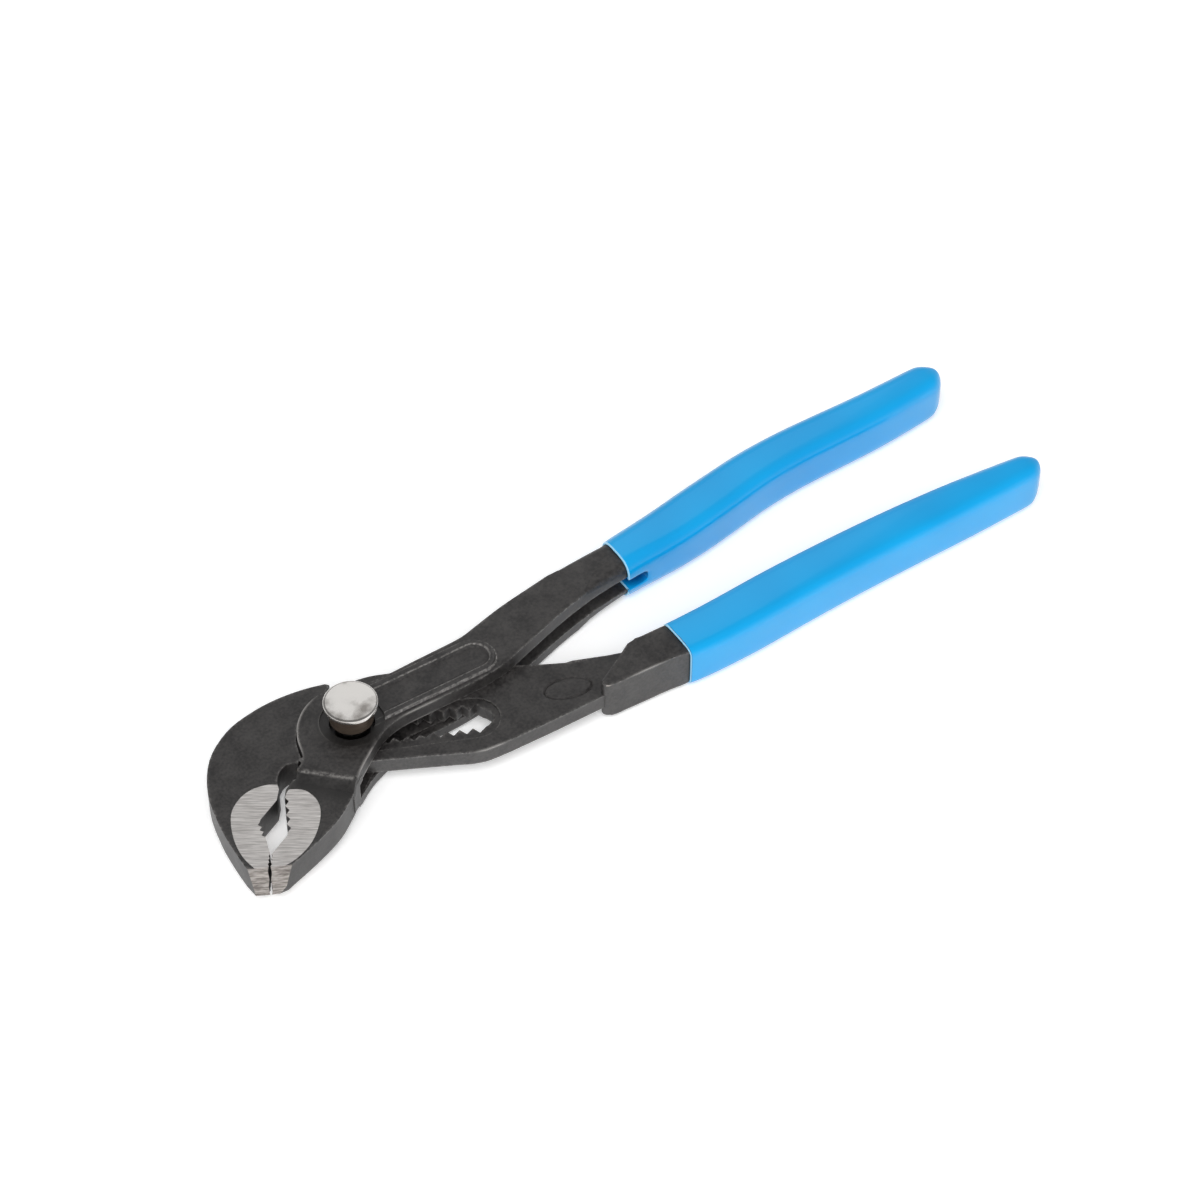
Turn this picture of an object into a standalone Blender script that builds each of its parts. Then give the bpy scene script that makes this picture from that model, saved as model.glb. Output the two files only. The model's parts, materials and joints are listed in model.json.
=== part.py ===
"""Push-button water pump pliers, 250 mm class, as an assembly of separate pieces.

Sizes are in millimetres and meshes are written in metres, with +Z up.
The drawing frame has its origin on the pivot axis, the jaws toward -X and the handles toward +X.
Z is 0 on the surface that the grips lie on, and the push button stands up from the front cheek.
"""

import math

import bmesh
import bpy

MM = 0.001

# Fits
CLEARANCE = 0.3
RUNNING_FIT = 0.2
JAW_GAP = 0.4

# Legs, across their thickness
LEG_THICKNESS = 12.0
JAW_THICKNESS = 8.0
PLATE_THICKNESS = 4.6
REAR_CHEEK = 3.0
EDGE_BREAK = 0.6
FORK_EDGE_BREAK = 1.0
JAW_EDGE_BREAK = 1.1

# Rack slot and its teeth
SLOT_TILT = 24.0
TOOTH_PITCH = 3.38
SLOT_TIP_HALF_WIDTH = 3.2
TOOTH_DEPTH = 1.7
SLOT_TEETH = 11
COINED_DEPTH = 0.4
COINED_MARGIN = 1.8
SLOT_NOSE = 2.4

# Pivot bolt and the bores that it runs in
BOLT_RADIUS = 5.7
LEDGE = 0.7
HEAD_RELIEF_RADIUS = 8.4
HEAD_RELIEF_DEPTH = 0.4

# Push button, from the top of the front cheek
BUTTON_RISE = 8.0
HEAD_RADIUS = 7.1
HEAD_THICKNESS = 1.5
HEAD_CROWN = 0.35
SKIRT_WALL = 0.9
SOCKET_DEPTH = 0.6

# Return spring
WIRE_DIAMETER = 0.7
SPRING_TURNS = 4.5
WASHER_THICKNESS = 0.5
CUP_WALL = 0.3

# Raised pad on the arm of the fork, with its shallow panel
PAD_RISE = 0.9
PAD_HALF_WIDTH = 6.5
PANEL_HALF_WIDTH = 3.4
PANEL_DEPTH = 0.8
PAD_CENTRE_Y = 1.7
PAD_START = 4.0
PAD_END = 43.4
PANEL_END = 41.0

# Dipped grips
GRIP_WALL = 1.2
MOUTH_WALL = 0.9
SKIN_LENGTH = 26.0
BAR_OVERLAP = 1.5
BAR_STEP = 0.05
END_ROWS = 7
END_BLUNTNESS = 0.1
END_HEIGHT = 0.25
END_LIFT = 0.75
FORK_GRIP_MOUTH = 88.4
RACK_GRIP_MOUTH = 85.2
SLOT_INTO_GRIP = 7.6
SLOT_LINING = 0.75

# Gripping teeth of the jaws
COARSE_TEETH = 4
COARSE_DEPTH = 1.0
RACK_COARSE_TEETH = 3
RACK_COARSE_DEPTH = 0.8
FINE_TEETH = 5
FINE_DEPTH = 0.3
TIP_SLOPE = 2.4
TIP_SKEW = 0.14

ROUND_SEGMENTS = 48
SMOOTH_ANGLE = 28.0

# Heights that follow from the sizes above
LEG_BOTTOM = GRIP_WALL
LEG_TOP = LEG_BOTTOM + LEG_THICKNESS
MIDDLE = (LEG_BOTTOM + LEG_TOP) / 2
JAW_BOTTOM = MIDDLE - JAW_THICKNESS / 2
JAW_TOP = MIDDLE + JAW_THICKNESS / 2
GAP_BOTTOM = LEG_BOTTOM + REAR_CHEEK
PLATE_BOTTOM = GAP_BOTTOM + RUNNING_FIT
PLATE_TOP = PLATE_BOTTOM + PLATE_THICKNESS
GAP_TOP = PLATE_TOP + RUNNING_FIT
TEETH_BOTTOM = PLATE_BOTTOM + COINED_DEPTH
LEDGE_TOP = GAP_TOP + LEDGE
BOLT_SHOULDER = GAP_TOP - CLEARANCE
PRESS_TRAVEL = BOLT_SHOULDER - TEETH_BOTTOM + RUNNING_FIT
SKIRT_BOTTOM = LEDGE_TOP + PRESS_TRAVEL + CLEARANCE
HEAD_TOP = LEG_TOP + BUTTON_RISE
HEAD_BOTTOM = HEAD_TOP - HEAD_THICKNESS
CAP_CEILING = HEAD_BOTTOM - RUNNING_FIT
BORE_RADIUS = BOLT_RADIUS + RUNNING_FIT
NECK_RADIUS = SLOT_TIP_HALF_WIDTH - CLEARANCE
NECK_BORE = NECK_RADIUS + RUNNING_FIT
SKIRT_BORE = BOLT_RADIUS - SKIRT_WALL
CUP_RADIUS = SKIRT_BORE - RUNNING_FIT
FORK_SLOT_END = FORK_GRIP_MOUTH + SLOT_INTO_GRIP

# Corner radius of each handle bar, by the distance along it from the mouth of its grip
FORK_CORNERS = [(-16.0, FORK_EDGE_BREAK), (0.0, 3.0), (SKIN_LENGTH, 1.9)]
RACK_CORNERS = [(-BAR_OVERLAP, EDGE_BREAK), (12.0, 1.5)]

# Centre line of each handle, as stations of x, y and half width of the bare bar
FORK_HANDLE = [
    (42.0, 2.8, 7.4),
    (54.0, 6.4, 6.9),
    (66.0, 9.3, 6.1),
    (78.0, 11.6, 5.8),
    (92.0, 13.3, 5.9),
    (106.0, 14.7, 6.1),
    (122.0, 17.4, 6.1),
    (138.0, 20.3, 5.8),
    (154.0, 21.6, 5.5),
    (178.0, 21.9, 5.1),
    (197.4, 23.2, 4.4),
]
RACK_HANDLE = [
    (70.0, -20.6, 5.5),
    (80.0, -21.0, 5.4),
    (90.0, -21.6, 6.0),
    (104.0, -21.3, 6.2),
    (120.0, -20.3, 6.1),
    (140.0, -19.5, 5.8),
    (160.0, -19.3, 5.5),
    (180.0, -19.6, 4.9),
    (199.8, -20.1, 3.6),
]


# Outlines
def smooth(points, per_span=4):
    """Points of a Catmull-Rom curve through the given points, both ends included."""
    padded = [points[0], *points, points[-1]]
    curve = []
    for a, b, c, d in zip(padded, padded[1:], padded[2:], padded[3:]):
        for step in range(per_span):
            t = step / per_span
            weights = (
                (-t + 2 * t**2 - t**3) / 2,
                (2 - 5 * t**2 + 3 * t**3) / 2,
                (t + 4 * t**2 - 3 * t**3) / 2,
                (t**3 - t**2) / 2,
            )
            spans = list(zip(weights, (a, b, c, d)))
            curve.append(tuple(sum(w * p[k] for w, p in spans) for k in range(len(b))))
    return [*curve, tuple(points[-1])]


def arc(centre, radius, start, end, steps):
    """Points on an arc, angles in degrees, both ends included."""
    angles = [math.radians(start + (end - start) * i / steps) for i in range(steps + 1)]
    return [(centre[0] + radius * math.cos(a), centre[1] + radius * math.sin(a)) for a in angles]


def between(start, end, share):
    """The point that lies a share of the way from start to end."""
    return tuple(s + (e - s) * share for s, e in zip(start, end))


def normals(path):
    """Unit normals on the left of a path, one for each point."""
    found = []
    for i in range(len(path)):
        before = path[max(i - 1, 0)]
        after = path[min(i + 1, len(path) - 1)]
        dx, dy = after[0] - before[0], after[1] - before[1]
        length = math.hypot(dx, dy)
        found.append((-dy / length, dx / length))
    return found


def shifted(path, distance):
    """The path moved to its left by a distance."""
    return [(x + nx * distance, y + ny * distance) for (x, y), (nx, ny) in zip(path, normals(path))]


def toothed(start, end, count, depth):
    """A saw line from start to end, its notches cut to the left of the way it runs."""
    dx, dy = end[0] - start[0], end[1] - start[1]
    length = math.hypot(dx, dy)
    points = []
    for tooth in range(count):
        middle = between(start, end, (tooth + 0.5) / count)
        points.append(between(start, end, tooth / count))
        points.append((middle[0] - dy / length * depth, middle[1] + dx / length * depth))
    return [*points, end]


def stadium(half_width, start, end, middle_y):
    """A slot-shaped outline along X, square at its start and round at its end."""
    round_end = arc((end - half_width, middle_y), half_width, -90, 90, 14)
    return [(start, middle_y - half_width), *round_end, (start, middle_y + half_width)]


def station_line(stations, start, stop):
    """Stations of a handle's smooth centre line from x = start to x = stop, both included."""
    fine = smooth(stations, 3)

    def at(x):
        """The station at one x."""
        for a, b in zip(fine, fine[1:]):
            if a[0] <= x <= b[0]:
                return between(a, b, (x - a[0]) / (b[0] - a[0]))
        return fine[-1]

    inner = [s for s in fine if start + 0.5 < s[0] < stop - 0.5]
    return [at(start), *inner, at(stop)]


def handle_edges(stations, start, stop):
    """The near and far edges of a handle bar between two values of x."""
    line = station_line(stations, start, stop)
    sides = list(zip(line, normals(line)))
    near = [(x - nx * half, y - ny * half) for (x, y, half), (nx, ny) in sides]
    far = [(x + nx * half, y + ny * half) for (x, y, half), (nx, ny) in sides]
    return near, far


def along_slot(along, across):
    """A drawing point from a distance along the rack slot and a distance across it."""
    tilt = math.radians(-SLOT_TILT)
    return (
        along * math.cos(tilt) - across * math.sin(tilt),
        along * math.sin(tilt) + across * math.cos(tilt),
    )


def slot_half_width(along):
    """Half the width of the rack slot: a tooth tip lies on the pivot and valleys half a pitch from it."""
    phase = abs((along / TOOTH_PITCH) % 1.0 - 0.5) * 2
    return SLOT_TIP_HALF_WIDTH + TOOTH_DEPTH * (1 - phase)


def slot_outline():
    """The toothed slot, from its blunt end under the cheeks to its narrow nose."""
    first = -1.5 * TOOTH_PITCH
    sides = [first + TOOTH_PITCH / 2 * i for i in range(2 * SLOT_TEETH + 2)]
    upper = [(a, slot_half_width(a)) for a in sides]
    blunt = -BORE_RADIUS - CLEARANCE
    upper.insert(0, (blunt, SLOT_TIP_HALF_WIDTH))
    nose = sides[-1] + SLOT_NOSE
    upper.append((nose - SLOT_TIP_HALF_WIDTH / 2, SLOT_TIP_HALF_WIDTH * 0.85))
    upper.append((nose, SLOT_TIP_HALF_WIDTH * 0.35))
    lower = [(a, -w) for a, w in reversed(upper)]
    return [along_slot(a, w) for a, w in [*lower, *upper]][::-1], nose


def level_loop(outline, height):
    """An outline as a loop of points at a height."""
    return [(x, y, height) for x, y in outline]


# Solids
def prism(outline, bottom, top, rim=0.0, sharp=(), ramp=0.0):
    """A solid between two heights on an outline that runs counter-clockwise.

    rim breaks the edges of both faces, except on the outline's segments listed in sharp.
    ramp is how far both faces slope in toward the last segment of the outline.
    """
    count = len(outline)
    drop = [ramp if i in (0, count - 1) else 0.0 for i in range(count)]
    bm = bmesh.new()
    low = [bm.verts.new((x, y, bottom + d)) for (x, y), d in zip(outline, drop)]
    high = [bm.verts.new((x, y, top - d)) for (x, y), d in zip(outline, drop)]
    level = slice(1, -1) if ramp else slice(None)
    bm.faces.new(reversed(low[level]))
    bm.faces.new(high[level])
    if ramp:
        bm.faces.new((low[1], low[0], low[-1], low[-2]))
        bm.faces.new((high[-2], high[-1], high[0], high[1]))
    for i in range(count):
        j = (i + 1) % count
        bm.faces.new((low[i], low[j], high[j], high[i]))
    ends = (count - 1,) if ramp else ()
    rims = []
    for i in range(count):
        if i not in sharp and i not in ends:
            j = (i + 1) % count
            rims += [bm.edges.get((ring[i], ring[j])) for ring in (low, high)]
    if ramp:
        rims += [bm.edges.get((ring[1], ring[-2])) for ring in (low, high)]
    if rim:
        bmesh.ops.bevel(bm, geom=rims, offset=rim, segments=2, profile=0.5, affect="EDGES")
    return bm


def loft(loops):
    """A closed solid through loops that have equally many points, capped at both ends."""
    bm = bmesh.new()
    rings = [[bm.verts.new(point) for point in loop] for loop in loops]
    for ring, following in zip(rings, rings[1:]):
        for i in range(len(ring)):
            j = (i + 1) % len(ring)
            bm.faces.new((ring[i], ring[j], following[j], following[i]))
    bm.faces.new(reversed(rings[0]))
    bm.faces.new(rings[-1])
    bmesh.ops.recalc_face_normals(bm, faces=bm.faces[:])
    return bm


def lathe(profile):
    """A solid turned about the pivot axis from a closed profile of radius and height."""
    bm = bmesh.new()
    verts = [bm.verts.new((r, 0.0, z)) for r, z in profile]
    edges = [bm.edges.new((a, b)) for a, b in zip(verts, [*verts[1:], verts[0]])]
    edges = [e for e in edges if any(v.co.x > 0 for v in e.verts)]
    bmesh.ops.spin(
        bm,
        geom=[*verts, *edges],
        cent=(0, 0, 0),
        axis=(0, 0, 1),
        angle=math.tau,
        steps=ROUND_SEGMENTS,
        use_merge=True,
    )
    bmesh.ops.remove_doubles(bm, verts=bm.verts[:], dist=0.0001)
    loose = [e for e in bm.edges if not e.link_faces]
    bmesh.ops.delete(bm, geom=loose, context="EDGES")
    bmesh.ops.recalc_face_normals(bm, faces=bm.faces[:])
    return bm


def cylinder(radius, bottom, top):
    """A round bar on the pivot axis."""
    return lathe([(0.0, bottom), (radius, bottom), (radius, top), (0.0, top)])


def as_object(name, bm):
    """A linked object that holds the solid, still in millimetres."""
    mesh = bpy.data.meshes.new(name)
    bm.to_mesh(mesh)
    bm.free()
    obj = bpy.data.objects.new(name, mesh)
    bpy.context.scene.collection.objects.link(obj)
    return obj


def combine(target, cutter, operation):
    """Joins another object to an object, or cuts it out of it, and uses the other one up."""
    modifier = target.modifiers.new("combine", "BOOLEAN")
    modifier.operation = operation
    modifier.solver = "EXACT"
    modifier.object = cutter
    evaluated = target.evaluated_get(bpy.context.evaluated_depsgraph_get())
    mesh = bpy.data.meshes.new_from_object(evaluated)
    target.modifiers.clear()
    target.data = mesh
    bpy.data.objects.remove(cutter)


def join(target, *tools):
    """Joins solids to an object."""
    for tool in tools:
        combine(target, as_object("tool", tool), "UNION")


def cut(target, *tools):
    """Cuts solids out of an object."""
    for tool in tools:
        combine(target, as_object("tool", tool), "DIFFERENCE")


# Fork leg: hub, arm, handle bar and the lower jaw
HUB_EDGE = [
    (4.2, 10.7),
    (-1.0, 12.4),
    (-5.0, 11.9),
    (-9.0, 9.8),
    (-12.4, 6.4),
    (-14.6, 2.4),
    (-15.9, -2.4),
]
NECK_LEFT = [(-15.9, -2.4), (-17.0, -4.6), (-20.0, -6.5)]
NECK_RIGHT = [
    (-8.5, -17.2),
    (-6.0, -15.0),
    (-2.0, -12.0),
    (2.0, -9.2),
    (6.0, -7.0),
    (10.0, -5.9),
    (14.0, -5.5),
]
ARM_LOWER = [(26.0, -5.5), (36.0, -5.4)]
ARM_UPPER = [(36.0, 9.4), (24.0, 9.1), (12.0, 8.9)]
REAR_EDGE = [
    (-8.0, -16.8),
    (-4.0, -14.0),
    (0.0, -11.8),
    (7.0, -9.3),
    (16.0, -7.8),
    (28.0, -7.3),
    (38.0, -6.0),
    (47.0, -3.2),
]
RAMP_DROP = (LEG_THICKNESS - JAW_THICKNESS) / 2 + RUNNING_FIT
RAMP_RUN_LEFT = 2.3
RAMP_RUN_RIGHT = 3.6
FORK_JAW_EDGE = [
    (-5.9, -15.2),
    (-9.3, -18.0),
    (-12.0, -20.3),
    (-18.0, -24.5),
    (-26.0, -27.9),
    (-34.0, -30.5),
    (-37.4, -31.6),
]
JAW_ROOT = [(-9.0, -10.0), (-6.0, -13.0)]
REAR_ROOT = [(47.0, 0.0), (0.0, -8.0)]
CLOSING_START = (-37.7, -25.0)
CLOSING_END = (-41.3, -30.4)
FORK_TIP = (-39.9, -31.3)
FORK_BITE = [(-31.4, -22.0), (-31.0, -21.4), (-26.0, -11.0), (-24.6, -9.1), (-21.4, -7.3)]


def ramp_line(at_left, at_right):
    """The two ends of the hub's jaw end, moved toward the jaw by distances from the ramp's upper edge."""
    left, right = NECK_LEFT[-1], NECK_RIGHT[0]
    length = math.dist(left, right)
    toward = ((right[1] - left[1]) / length, -(right[0] - left[0]) / length)
    moves = ((left, at_left), (right, at_right))
    return [(p[0] + toward[0] * move, p[1] + toward[1] * move) for p, move in moves]


def fork_outline():
    """The fork without its jaw, counter-clockwise, with the jaw end as its last segment."""
    bar_start = FORK_GRIP_MOUTH + FORK_CORNERS[0][0]
    near, far = handle_edges(FORK_HANDLE, FORK_HANDLE[0][0], bar_start + BAR_OVERLAP)
    left, right = ramp_line(RAMP_RUN_LEFT, RAMP_RUN_RIGHT)
    lower = smooth([*NECK_RIGHT, *ARM_LOWER, near[0]], 3)[:-1]
    upper = smooth([far[0], *ARM_UPPER, HUB_EDGE[0]], 4)[1:-1]
    hub = smooth([*HUB_EDGE, *NECK_LEFT[1:]], 4)
    return [right, *lower, *near, *reversed(far), *upper, *hub, left]


def closing_line(side):
    """The jaw's own edge of the line that the closed jaws meet on, its end first."""
    line = shifted([CLOSING_START, CLOSING_END], side * JAW_GAP / 2)
    return line[1], line[0]


def fork_jaw_outline():
    """The fork's jaw, counter-clockwise, and the segments that stay sharp."""
    tip, back = closing_line(1)
    outer = smooth(FORK_JAW_EDGE, 4)
    mouth = [
        FORK_TIP,
        *toothed(tip, back, FINE_TEETH, -FINE_DEPTH),
        FORK_BITE[0],
        *toothed(FORK_BITE[1], FORK_BITE[2], COARSE_TEETH, -COARSE_DEPTH),
        *FORK_BITE[3:],
    ]
    outline = [*outer, *mouth, *JAW_ROOT]
    return outline, range(len(outer) - 1, len(outline))


def tip_facet():
    """The wedge that is ground off both jaw tips, which leaves a sloping end face."""
    (x0, y0), (x1, y1) = CLOSING_START, CLOSING_END
    length = math.dist(CLOSING_START, CLOSING_END)
    ahead = ((x1 - x0) / length, (y1 - y0) / length)

    def beyond(back):
        """The region past a line across the jaws, a distance back from the tip."""
        across = JAW_THICKNESS * 2
        skew = across * TIP_SKEW
        corners = (
            (-back + skew, -across),
            (across, -across),
            (across, across),
            (-back - skew, across),
        )
        return [
            (x1 + a * ahead[0] - c * ahead[1], y1 + a * ahead[1] + c * ahead[0]) for a, c in corners
        ]

    return loft([level_loop(beyond(0.0), JAW_BOTTOM - 0.1), level_loop(beyond(TIP_SLOPE), JAW_TOP + 0.1)])


def gap_outline():
    """The space between the cheeks, open on both sides from the neck to the slot end in the handle."""
    left, right = ramp_line(-CLEARANCE * 4, -CLEARANCE * 4)
    ends = (between(left, right, -1.5), between(left, right, 2.5))
    far_off = FORK_SLOT_END / 2
    return [*ends, (FORK_SLOT_END, -far_off), (FORK_SLOT_END, far_off), (ends[0][0], far_off)]


def gap_solid(grow):
    """The space between the cheeks, narrowed by grow on both faces, with a round end in the handle."""
    outline = gap_outline()
    outline[2] = (outline[2][0] - grow, outline[2][1])
    outline[3] = (outline[3][0] - grow, outline[3][1])
    bm = prism(outline, GAP_BOTTOM + grow, GAP_TOP - grow)
    ends = [e for e in bm.edges if all(abs(v.co.x - FORK_SLOT_END + grow) < 0.01 for v in e.verts)]
    level = [e for e in ends if abs(e.verts[0].co.z - e.verts[1].co.z) < 0.01]
    rounding = (GAP_TOP - GAP_BOTTOM) * 0.38 - grow
    bmesh.ops.bevel(bm, geom=level, offset=rounding, segments=4, profile=0.5, affect="EDGES")
    return bm


def raised_pad():
    """The pad on the arm, with sloping sides and a round end, which starts under the button."""
    slope = PAD_RISE * 0.8
    foot = stadium(PAD_HALF_WIDTH, PAD_START, PAD_END, PAD_CENTRE_Y)
    crest = stadium(PAD_HALF_WIDTH - slope, PAD_START, PAD_END - slope, PAD_CENTRE_Y)
    return loft([level_loop(foot, LEG_TOP - PAD_RISE), level_loop(crest, LEG_TOP + PAD_RISE)])


def panel_recess():
    """The shallow bare panel that is sunk into the pad, with sloping sides."""
    spread = PANEL_DEPTH * 2
    top = LEG_TOP + PAD_RISE
    start = PAD_START - CLEARANCE
    floor = stadium(PANEL_HALF_WIDTH, start, PANEL_END, PAD_CENTRE_Y)
    mouth = stadium(PANEL_HALF_WIDTH + spread, start, PANEL_END + spread, PAD_CENTRE_Y)
    return loft([level_loop(floor, top - PANEL_DEPTH), level_loop(mouth, top + PANEL_DEPTH)])


def make_fork_leg():
    """The forged leg that the button sits in: two cheeks, arm, handle bar and lower jaw."""
    body = prism(fork_outline(), LEG_BOTTOM, LEG_TOP, FORK_EDGE_BREAK, ramp=RAMP_DROP)
    fork = as_object("fork_leg", body)
    jaw, sharp = fork_jaw_outline()
    join(fork, prism(jaw, JAW_BOTTOM, JAW_TOP, JAW_EDGE_BREAK, sharp))
    rear = [*smooth(REAR_EDGE, 3), *REAR_ROOT]
    join(fork, prism(rear, LEG_BOTTOM, GAP_BOTTOM - RUNNING_FIT, EDGE_BREAK))
    cut(fork, tip_facet())
    bar = (FORK_HANDLE, FORK_GRIP_MOUTH, FORK_CORNERS)
    join(fork, covered_bar(*bar, FORK_CORNERS[0][0], -BAR_STEP, -BAR_STEP))
    join(fork, raised_pad())
    cut(
        fork,
        panel_recess(),
        gap_solid(0.0),
        cylinder(HEAD_RELIEF_RADIUS, LEG_TOP - HEAD_RELIEF_DEPTH, HEAD_TOP),
        cylinder(BORE_RADIUS, LEDGE_TOP, HEAD_TOP),
        cylinder(NECK_BORE, MIDDLE, HEAD_TOP),
        cylinder(BORE_RADIUS, LEG_BOTTOM - 1.0, MIDDLE),
    )
    return fork


# Rack leg: upper jaw, slotted plate and handle bar
BACK_EDGE = [(2.4, 16.0), (-4.0, 17.7), (-12.0, 18.6), (-20.0, 18.0), (-28.0, 15.7), (-36.0, 9.8)]
FRONT_EDGE = [(-41.5, 0.5), (-44.0, -10.0), (-44.8, -18.0), (-45.0, -25.0)]
RACK_TIP = (-44.6, -29.0)
RACK_BITE = [(-36.3, -20.0), (-36.2, -19.6), (-35.0, -14.6), (-34.6, -14.1), (-28.1, -10.8)]
THROAT = [
    (-25.9, -8.0),
    (-25.2, -5.8),
    (-23.9, -4.0),
    (-22.3, -2.7),
    (-20.6, -2.1),
    (-18.9, -2.3),
    (-17.6, -2.9),
]
PLATE_LOWER = [
    (-16.2, -2.8),
    (-8.0, -7.4),
    (6.0, -14.3),
    (18.0, -20.3),
    (23.0, -22.8),
    (29.0, -24.0),
    (46.0, -24.5),
]
PLATE_UPPER = [
    (60.0, -10.4),
    (50.0, -5.1),
    (38.0, 2.0),
    (18.0, 12.2),
    (10.0, 14.8),
    (2.0, 15.4),
]
PLATE_IN_JAW = [(-6.0, 15.5), (-20.0, 8.0), (-19.4, 1.6)]

# Handle block of the rack leg, with x counted from the mouth of its grip
BARE_BAR = 5.2
PLATE_IN_BLOCK = [(-19.2, -24.6), (-7.2, -24.0), (-7.2, -17.0), (-12.2, -14.3)]
BLOCK_CORNER = [(-24.3, -22.7), (-24.8, -24.0), (-23.8, -25.3), (-21.2, -25.8)]
BLOCK_SHOULDER = [(-7.2, -15.6), (-10.6, -15.4), (-13.6, -16.9)]


def rack_jaw_outline():
    """The rack's jaw, counter-clockwise, and the segments that stay sharp."""
    tip, back = closing_line(-1)
    hub_side = shifted(smooth(HUB_EDGE[1:], 3), -CLEARANCE)
    outer = smooth([*BACK_EDGE, *FRONT_EDGE], 4)
    mouth = [
        RACK_TIP,
        *reversed(toothed(back, tip, FINE_TEETH, -FINE_DEPTH)),
        RACK_BITE[0],
        *toothed(RACK_BITE[1], RACK_BITE[2], RACK_COARSE_TEETH, RACK_COARSE_DEPTH),
        *RACK_BITE[3:],
    ]
    throat = smooth(THROAT, 3)
    outline = [*outer, *mouth, *throat, *reversed(hub_side)]
    return outline, range(len(outer) - 1, len(outline))


def plate_outline():
    """The slotted plate from inside the jaw to inside the handle block."""
    block = [(RACK_GRIP_MOUTH + x, y) for x, y in PLATE_IN_BLOCK]
    return [*smooth(PLATE_LOWER, 4), *block, *smooth(PLATE_UPPER, 4), *PLATE_IN_JAW]


def rack_handle_outline():
    """The handle bar of the rack leg, with its slanted shoulder at the plate."""
    bare = RACK_GRIP_MOUTH - BARE_BAR
    near, far = handle_edges(RACK_HANDLE, bare, RACK_GRIP_MOUTH + BAR_OVERLAP)
    corner = smooth([(RACK_GRIP_MOUTH + x, y) for x, y in BLOCK_CORNER], 3)
    shoulder = smooth([(RACK_GRIP_MOUTH + x, y) for x, y in BLOCK_SHOULDER], 3)
    return [*corner, *near, *reversed(far), *shoulder]


def make_rack_leg():
    """The forged leg with the toothed slot: upper jaw, plate and handle bar."""
    rack = as_object("rack_leg", prism(plate_outline(), PLATE_BOTTOM, PLATE_TOP, EDGE_BREAK))
    jaw, sharp = rack_jaw_outline()
    join(rack, prism(jaw, JAW_BOTTOM, JAW_TOP, JAW_EDGE_BREAK, sharp))
    cut(rack, tip_facet())
    join(rack, prism(rack_handle_outline(), LEG_BOTTOM, LEG_TOP, EDGE_BREAK))
    bar = (RACK_HANDLE, RACK_GRIP_MOUTH, RACK_CORNERS)
    join(rack, covered_bar(*bar, -BAR_OVERLAP, -BAR_STEP, -BAR_STEP))
    slot, nose = slot_outline()
    coined_half = SLOT_TIP_HALF_WIDTH + TOOTH_DEPTH + COINED_MARGIN
    coined_end = arc((nose + COINED_MARGIN - coined_half, 0.0), coined_half, -90, 90, 12)
    coined_start = arc((0.0, 0.0), coined_half + COINED_MARGIN, 120, 240, 12)
    coined = [along_slot(a, w) for a, w in [*coined_start, *coined_end]]
    cut(
        rack,
        prism(coined, PLATE_TOP - COINED_DEPTH, PLATE_TOP + 1.0),
        prism(coined, PLATE_BOTTOM - 1.0, TEETH_BOTTOM),
        prism(slot, LEG_BOTTOM, LEG_TOP),
    )
    return rack


# Button mechanism
def make_pivot_bolt():
    """The pivot: round tail, toothed lock that fits the rack, neck and the spigot that the cap sits on."""
    bolt = as_object("pivot_bolt", cylinder(BOLT_RADIUS, LEG_BOTTOM + RUNNING_FIT, PLATE_BOTTOM))
    steps = 16
    reach = [BOLT_RADIUS * math.sin(math.pi / 2 * i / steps) for i in range(-steps, steps + 1)]
    corners = [TOOTH_PITCH / 2 * i for i in (-2, -1, 0, 1, 2)]
    stations = sorted({round(a, 6) for a in [*reach, *corners]})
    upper = []
    for a in stations[1:-1]:
        upper.append((a, min(slot_half_width(a) - RUNNING_FIT, math.sqrt(BOLT_RADIUS**2 - a * a))))
    lower = [(a, -w) for a, w in upper]
    lock = [(stations[0], 0.0), *lower, (stations[-1], 0.0), *reversed(upper)]
    join(
        bolt,
        prism([along_slot(a, w) for a, w in lock], PLATE_BOTTOM - CLEARANCE, BOLT_SHOULDER),
        cylinder(NECK_RADIUS, MIDDLE, CAP_CEILING - CLEARANCE),
        cylinder(NECK_RADIUS * 0.7, MIDDLE, CAP_CEILING + SOCKET_DEPTH - CLEARANCE),
    )
    return bolt


def make_button_cap():
    """The polished cap: crowned head, and a hollow skirt that covers the spring."""
    edge = HEAD_THICKNESS * 0.3
    socket = NECK_RADIUS * 0.7 + RUNNING_FIT
    crown = HEAD_TOP - HEAD_CROWN
    profile = [
        (0.0, HEAD_TOP),
        (HEAD_RADIUS * 0.5, HEAD_TOP - HEAD_CROWN * 0.25),
        (HEAD_RADIUS - edge, crown),
        (HEAD_RADIUS - edge * 0.3, crown - edge * 0.3),
        (HEAD_RADIUS, crown - edge),
        (HEAD_RADIUS, HEAD_BOTTOM + 0.2),
        (HEAD_RADIUS - 0.2, HEAD_BOTTOM),
        (BOLT_RADIUS, HEAD_BOTTOM),
        (BOLT_RADIUS, SKIRT_BOTTOM),
        (SKIRT_BORE, SKIRT_BOTTOM),
        (SKIRT_BORE, CAP_CEILING),
        (socket, CAP_CEILING),
        (socket, CAP_CEILING + SOCKET_DEPTH),
        (0.0, CAP_CEILING + SOCKET_DEPTH),
    ]
    return as_object("button_cap", lathe(profile))


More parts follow.
